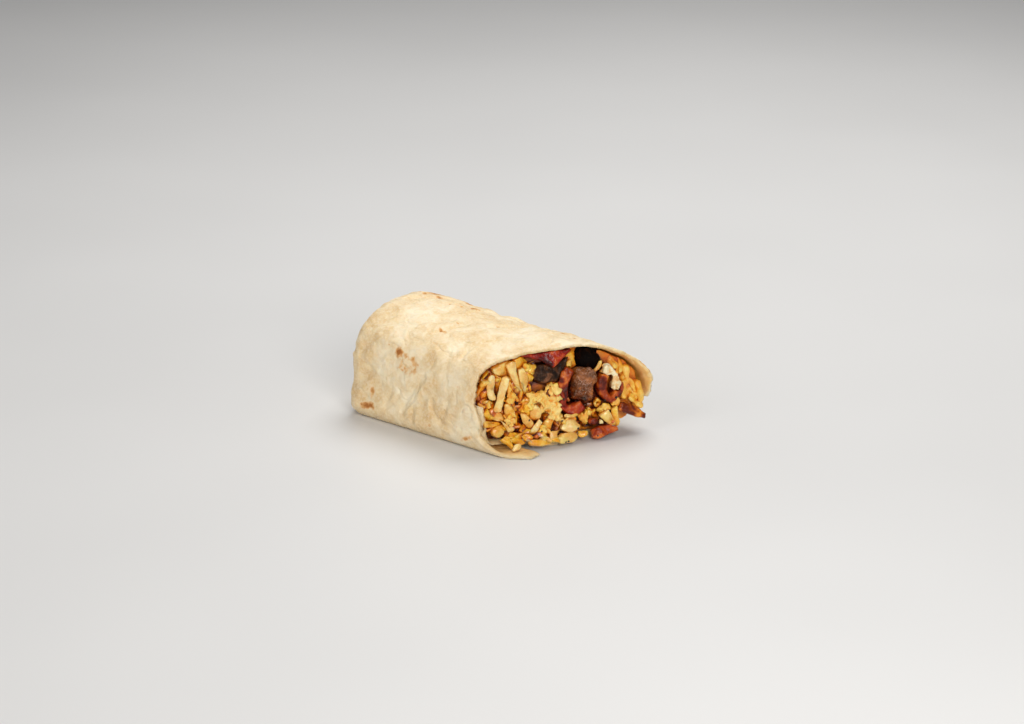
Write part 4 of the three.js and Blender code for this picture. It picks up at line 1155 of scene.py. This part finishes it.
def vectors(tree, operation, first, second):
    inputs = {0: first, "Scale" if operation == "SCALE" else 1: second}
    return add(tree, "ShaderNodeVectorMath", inputs, operation=operation).outputs[0]


def wobble(tree, geometry, size, amount, shift):
    """Moves every point by noise with features of a size in mm, by an amount in mm."""
    place = vectors(tree, "ADD", add(tree, "GeometryNodeInputPosition").outputs[0], (shift, -shift, shift))
    cloud = add(tree, "ShaderNodeTexNoise", {"Vector": place, "Scale": 1 / (size * MM), "Detail": 2.0})
    centred = vectors(tree, "SUBTRACT", cloud.outputs["Color"], (0.5, 0.5, 0.5))
    offset = vectors(tree, "SCALE", centred, Amount(tree, amount) * (2 * MM))
    return add(tree, "GeometryNodeSetPosition", {"Geometry": geometry, "Offset": offset}).outputs[0]


def laying_tree(name, shapes, material, sizes):
    """Lays one of the shapes on each point, bends it, makes it uneven and finer."""
    tree = bpy.data.node_groups.new(name, "GeometryNodeTree")
    for side in ("INPUT", "OUTPUT"):
        tree.interface.new_socket("Geometry", in_out=side, socket_type="NodeSocketGeometry")
    for key, value in sizes.items():
        kind = "NodeSocketInt" if isinstance(value, int) else "NodeSocketFloat"
        tree.interface.new_socket(key, in_out="INPUT", socket_type=kind).default_value = value
    given = tree.nodes.new("NodeGroupInput").outputs
    kinds = add(tree, "GeometryNodeJoinGeometry")
    for shape in reversed(shapes):
        info = add(tree, "GeometryNodeObjectInfo", {"Object": shape, "As Instance": True})
        tree.links.new(info.outputs["Geometry"], kinds.inputs[0])
    laid = add(tree, "GeometryNodeInstanceOnPoints", {
        "Points": given["Geometry"], "Instance": kinds.outputs[0], "Pick Instance": True,
        "Instance Index": named(tree, "kind"), "Scale": named(tree, "size"),
        "Rotation": add(tree, "FunctionNodeEulerToRotation", {0: named(tree, "turn")}).outputs[0],
    })
    real = add(tree, "GeometryNodeRealizeInstances", {"Geometry": laid.outputs[0]})
    fine = add(tree, "GeometryNodeSubdivisionSurface", {
        "Mesh": real.outputs[0], "Level": given["Fineness"], "Edge Crease": given["Crease"],
    })
    bow = (Amount(tree, named(tree, "along")).then("POWER", 2.0) - 0.35) * named(tree, "bend")
    lift = vectors(tree, "SCALE", named(tree, "rise"), bow)
    bent = add(tree, "GeometryNodeSetPosition", {"Geometry": fine.outputs[0], "Offset": lift})
    uneven = wobble(tree, bent.outputs[0], 3.4, given["Unevenness"], 0.31)
    uneven = wobble(tree, uneven, 1.2, given["Roughness"], 0.17)
    soft = add(tree, "GeometryNodeSetShadeSmooth", {"Geometry": uneven})
    made = add(tree, "GeometryNodeSetMaterial", {"Geometry": soft.outputs[0], "Material": material})
    tree.links.new(made.outputs[0], tree.nodes.new("NodeGroupOutput").inputs[0])
    return tree


def laid_out(name, rows, shapes, material, unevenness, roughness, crease=0.0, fineness=0):
    """Lays shapes on a cloud of points and keeps the mesh that comes of it."""
    sizes = {"Unevenness": unevenness, "Roughness": roughness, "Fineness": fineness, "Crease": crease}
    tree = laying_tree(name, shapes, material, sizes)
    cloud = point_cloud(name, rows)
    modifier = cloud.modifiers.new("grow", "NODES")
    modifier.node_group = tree
    for item in tree.interface.items_tree:
        if item.in_out == "INPUT" and item.name in sizes:
            modifier[item.identifier] = sizes[item.name]
    plain_mesh(cloud, name)
    for shape in shapes:
        bpy.data.objects.remove(shape)
    return cloud


def shred_rows():
    """Layers of shreds, each a little deeper behind the face of the filling."""
    draw = np.random.default_rng(11)
    rows = []
    for step, sink in ((2.8, 1.9), (3.8, 3.0), (3.6, 4.2)):
        for y, z in scatter(step, draw, 4.2, lambda y, z: y < -13 or z < (9.5 if y < 16 else 5)):
            angle = (80 if y < -14 and z > 14 else 5) + draw.uniform(-65, 65)
            out = float(filling_reach(y, z)) + draw.uniform(-0.5, 0.8) - sink
            size = (draw.uniform(6, 12), draw.uniform(2.4, 4), draw.uniform(2, 3))
            # Deeper layers get a more golden tint: painted shade for their depth in the heap
            tint = 0.35 + 0.25 * sink + draw.uniform(-0.3, 0.5)
            kind = int(draw.integers(0, 6))
            lean = (draw.uniform(-34, 34), draw.uniform(-50, 50), draw.uniform(-1.5, 1.5))
            rows.append(laid_row(kind, y, z, angle, size, out, *lean, tint, max(0, draw.uniform(-1.3, 0.9))))
    return rows


def curd_rows():
    """Layers of curds, with long folds at the far side, and room for the curds and shreds that are seen."""
    draw = np.random.default_rng(29)
    seen = [outline for outline, *_ in SHREDS_SEEN + CURDS_SEEN]
    rows = []
    for sink, step in ((1.0, 3.4), (2.8, 4.0)):
        def is_egg(y, z):
            covered = sink < 2 and any(covers(outline, y, z) for outline in seen)
            return y > -14 and z > (12 if y < 16 else 6) and not covered

        for y, z in scatter(step, draw, 4, is_egg):
            kind = int(draw.integers(0, 6))
            if y > 14:
                size = (draw.uniform(7, 12), draw.uniform(2, 3.4), draw.uniform(2, 3.4))
                angle, kind = -75 + draw.uniform(-25, 25), kind + 6
            else:
                size = (draw.uniform(5, 8.5), draw.uniform(4, 6), draw.uniform(4, 5.4))
                angle = draw.uniform(0, 180)
            out = float(filling_reach(y, z)) + draw.uniform(-1, 0.6) - sink
            lean = (draw.uniform(-35, 35), draw.uniform(-40, 40), draw.uniform(-2, 2))
            rows.append(laid_row(kind, y, z, angle, size, out, *lean))
    return rows


CORE_FRONT = -4.2


def core_and_back(node, depth, voxel, material):
    """A heap's core, its front pressed back so that what lies on it has room, and what is behind the core."""
    core = rounded(solid_copy(node, f"{node}_core", depth), voxel, 2)
    spots, _ = places_of(core)
    spots[:, 0] -= 0.85 * np.maximum(out_of_cut(spots) - CORE_FRONT, 0) / math.cos(BIAS)
    set_places(core, spots)
    back = solid_copy(node, f"{node}_back", depth + 0.4, front=False)
    for piece in (core, back):
        dress(piece, material)
    return core, back


# Directions over a face, the straight one first, to see how much food stands round a place
OVER_FACE = [(0, 0, 1)] + [
    (math.sin(lean) * math.cos(turn), math.sin(lean) * math.sin(turn), math.cos(lean))
    for lean, count in ((0.6, 4), (1.1, 6))
    for turn in (2 * math.pi * (np.arange(count) + 0.25 * count) / count)
]
SHELTER_REACH = 7.0


def food_around(pieces):
    """All the pieces' faces together, in the roll's millimetres, for rays."""
    points, faces = [], []
    for piece in pieces:
        start = len(points)
        points.extend(places_of(piece)[0].tolist())
        faces.extend([tuple(start + v for v in face.vertices) for face in piece.data.polygons])
    return BVHTree.FromPolygons(points, faces)


def paint_crevice_shade(piece, around):
    """Marks painted shade on each vertex near the cut, from how much other food shelters it and how far it
    lies behind the filling's face: 0 in the open, 1 in a deep crevice.
    """
    spots, normals = places_of(piece)
    deep = np.ones(len(spots))
    facing = normals @ np.array(OUT_OF_CUT)
    for i in np.flatnonzero((out_of_cut(spots) > -8) & (facing > -0.35)):
        straight = Vector(normals[i])
        side = straight.orthogonal().normalized()
        other = straight.cross(side)
        start = Vector(spots[i]) + 0.12 * straight
        total = 0.0
        for a, b, c in OVER_FACE:
            distance = around.ray_cast(start, side * a + other * b + straight * c, SHELTER_REACH)[3]
            if distance is not None:
                total += 1 - 0.7 * distance / SHELTER_REACH
        deep[i] = total / len(OVER_FACE)
    # Painted shade also grows with how far a place lies behind the filling's face, is strong on unsampled
    # hidden faces and a little lighter at the far side
    behind = filling_reach(spots[:, 1], spots[:, 2]) + 1.4 - out_of_cut(spots)
    shade = np.where(deep < 1, np.clip(0.62 * deep + 0.17 * np.clip(behind, 0, 4), 0, 1), 0.85)
    mark(piece, "deep", shade * (1 - 0.3 * smooth(14, 18, spots[:, 1])))


def warp_of(spots):
    return np.stack([soft_noise(spots, 1.8, seed) for seed in (41, 42, 43)], -1)


def potato_heap(material):
    core, back = core_and_back("hash_browns", -9, 0.6, material)
    move_out(core, 0.5 * soft_noise(places_of(core)[0], 2.4, 21))
    strips = [strip_shape(kind) for kind in range(6)]
    scattered = laid_out("scattered_shreds", shred_rows(), strips, material, 0.4, 0.16, 0.35)
    seen = slab_heap("seen_shreds", SHREDS_SEEN, 0.8, 3, ("tint", "crisp"))
    spots, _ = places_of(seen)
    move_out(seen, 0.34 * soft_noise(spots, 3.4, 22) + 0.08 * soft_noise(spots, 1.4, 23))
    dress(seen, material)
    for piece in (seen, scattered):
        kept_inside(piece)
    return joined("hash_brown_heap", [seen, scattered, core, back])


def egg_heap(material):
    core, back = core_and_back("scrambled_egg", -10, 0.7, material)
    shapes = [lump_shape(kind) for kind in range(6)] + [strip_shape(kind) for kind in range(6)]
    curds = rounded(laid_out("egg_curds", curd_rows(), shapes, material, 0.8, 0.2, fineness=1), 0.42, 3)
    seen = rounded(slab_heap("seen_curds", CURDS_SEEN[:-FAR_FOLDS], 2.0, 4, ()), 0.38, 2)
    folds = rounded(slab_heap("seen_folds", CURDS_SEEN[-FAR_FOLDS:], 2.0, 4, ()), 0.42, 8)
    for piece in (curds, seen, folds):
        dress(piece, material)
        spots, _ = places_of(piece)
        warp = warp_of(spots)
        coarse, fine = round_bumps(spots + 0.7 * warp, 2.2, 3), round_bumps(spots + 0.4 * warp, 1.15, 5)
        grains = (1.7 * coarse + 0.7 * fine - 1.4) * (1 - 0.85 * smooth(12, 16, spots[:, 1]))
        move_out(piece, grains + 0.9 * soft_noise(spots, 4.5, 6))
        kept_inside(piece)
    heap = joined("scrambled_egg_heap", [seen, folds, curds, core, back])
    spots, _ = places_of(heap)
    pale = 0.12 + 0.35 * soft_noise(spots, 5, 44)
    for outline, _, _, _, paleness in CURDS_SEEN:
        y, z = np.mean(outline, axis=0)
        reach = 0.5 * np.ptp(outline, axis=0).max()
        near = np.hypot(spots[:, 1] - y, spots[:, 2] - z) / reach
        pale = np.maximum(pale, paleness * (1 - smooth(0.7, 1.2, near)))
    mark(heap, "pale", np.clip(pale, 0, 1))
    return heap


def settle(piece, material, node):
    dress(piece, material)
    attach(piece, "root")
    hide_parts(node)


# Reliefs of the meats and mushrooms, in mm


def crinkled(spots):
    return 0.3 * soft_noise(spots, 3.6, 31) + 0.08 * soft_noise(spots, 1.4, 32)


def ragged(spots):
    return 0.5 * soft_noise(spots, 2.4, 36) + 0.25 * soft_noise(spots, 1.1, 37)


def netted(spots):
    folds = 1.3 * soft_noise(spots, 6, 38) + 0.5 * soft_noise(spots, 2.6, 39)
    near, next_near = cells(spots + warp_of(spots), 1.8, 33).T
    return folds + 0.35 * np.clip(next_near - near, 0, 0.6) / 0.6 - 0.3


def gilled(spots):
    return 0.3 * soft_noise(spots, 4, 35) + 0.12 * soft_noise(spots, 1.6, 40)


def bacon_and_mushrooms():
    """A fine piece over each node's solid: how fine and how round, its relief, and its amber low and high."""
    bacon = fried_bacon()
    brown, grey, black = (cooked_mushroom(f"{name}_mushroom", *tones) for name, *tones in (
        ("brown", (0.028, 0.006, 0.0015), (0.19, 0.042, 0.007), (0.56, 0.18, 0.036), 0.1, 0.7, 0.24, 1.0),
        ("grey", (0.012, 0.005, 0.002), (0.055, 0.022, 0.009), (0.28, 0.11, 0.05), 0.32, 0.12, 0.12, 0.5),
        # The near-black cap: partly its own dark colour, partly painted shadow where it sits in a hollow
        # under the roof
        ("black", (0.002, 0.0008, 0.0004), (0.004, 0.0012, 0.0005), (0.02, 0.006, 0.0015), 0.6, 0, 0.08, 0.4),
    ))
    pieces = []
    for node, name, voxel, passes, relief, material, slot, low_amber, high_amber in (
        ("bacon_top", "red_bacon_piece", 0.3, 4, crinkled, bacon, "bacon", 0.0, 0.0),
        ("bacon_curl_middle", "middle_bacon_curl", 0.3, 3, crinkled, bacon, "bacon", 0.05, 0.38),
        ("bacon_curl_right", "right_bacon_curl", 0.3, 3, crinkled, bacon, "bacon", 0.25, 0.5),
        ("bacon_strip_right", "far_bacon_strip", 0.3, 2, crinkled, bacon, "bacon", 1.0, 1.0),
        ("bacon_crumb_front", "front_bacon_piece", 0.3, 2, crinkled, bacon, "bacon", 0.3, 0.25),
        ("bacon_bit_small", "small_bacon_bit", 0.3, 2, crinkled, bacon, "bacon", 0.35, 0.35),
        ("bacon_fat_right", "fat_ribbon", 0.28, 3, ragged, soft_fat(), "bacon_fat", 0.0, 0.0),
        ("mushroom_chunk", "mushroom_stem_chunk", 0.3, 2, netted, brown, "mushroom", 0.0, 0.4),
        ("mushroom_slice", "grey_mushroom_slice", 0.3, 3, gilled, grey, "mushroom", 0.0, 0.0),
        ("mushroom_dark", "dark_mushroom_cap", 0.35, 3, crinkled, black, "mushroom", 0.0, 0.0),
    ):
        piece = rounded(solid_copy(node, name), voxel, passes)
        spots, _ = places_of(piece)
        move_out(piece, relief(spots))
        z = spots[:, 2]
        mark(piece, "amber", mix(low_amber, high_amber, smooth(z.min(), z.max(), z)))
        settle(piece, material, node)
        pieces.append(piece)
    return pieces


def specks(name, places, size, around, material, seed):
    """Small bits that lie on the filling, each where a line into the cut first meets food."""
    draw = np.random.default_rng(seed)
    rows = []
    for y, z in places:
        spot = around.ray_cast(on_cut(y, z, 14), -OUT_OF_CUT, 26)[0]
        if spot is not None:
            own = size * draw.uniform(0.75, 1.3)
            kind, angle = int(draw.integers(0, 3)), draw.uniform(0, 180)
            row = laid_row(kind, y, z, angle, (own, own * draw.uniform(0.55, 0.9), own * 0.7), 0)
            row["spot"] = spot + 0.1 * size * OUT_OF_CUT
            rows.append(row)
    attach(laid_out(name, rows, [lump_shape(kind) for kind in range(3)], material, 0.1, 0.1), "root")


add_camera()
studio()

sheet = tortilla_sheet()
dress_tortilla(sheet)
settle(sheet, toasted_flour(), "tortilla")

potato, egg = waxy_potato(), soft_egg()
potato_pieces = potato_heap(potato)
egg_pieces = egg_heap(egg)
filling = [potato_pieces, egg_pieces] + bacon_and_mushrooms()
around = food_around([sheet] + filling)
for piece in filling:
    paint_crevice_shade(piece, around)
settle(potato_pieces, potato, "hash_browns")
settle(egg_pieces, egg, "scrambled_egg")

more = np.random.default_rng(5)
pepper_places = PEPPER_SEEN + [(more.uniform(-28, 12), more.uniform(3, 20)) for _ in range(12)]
low, high = (0.4, (0.006, 0.003, 0.001)), (0.7, (0.05, 0.02, 0.008))
ground_pepper = two_tone("ground_pepper", 0.4, 3.0, low, high, 0.55)
specks("pepper_specks", pepper_places, 0.9, around, ground_pepper, 3)
low, high = (0.35, (0.5, 0.06, 0.008)), (0.65, (0.85, 0.24, 0.03))
paprika = two_tone("paprika_bits", 0.9, 3.0, low, high, 0.35, (0.3, 0.8, 0.3, 0.1))
specks("orange_bits", BITS_SEEN, 1.3, around, paprika, 4)
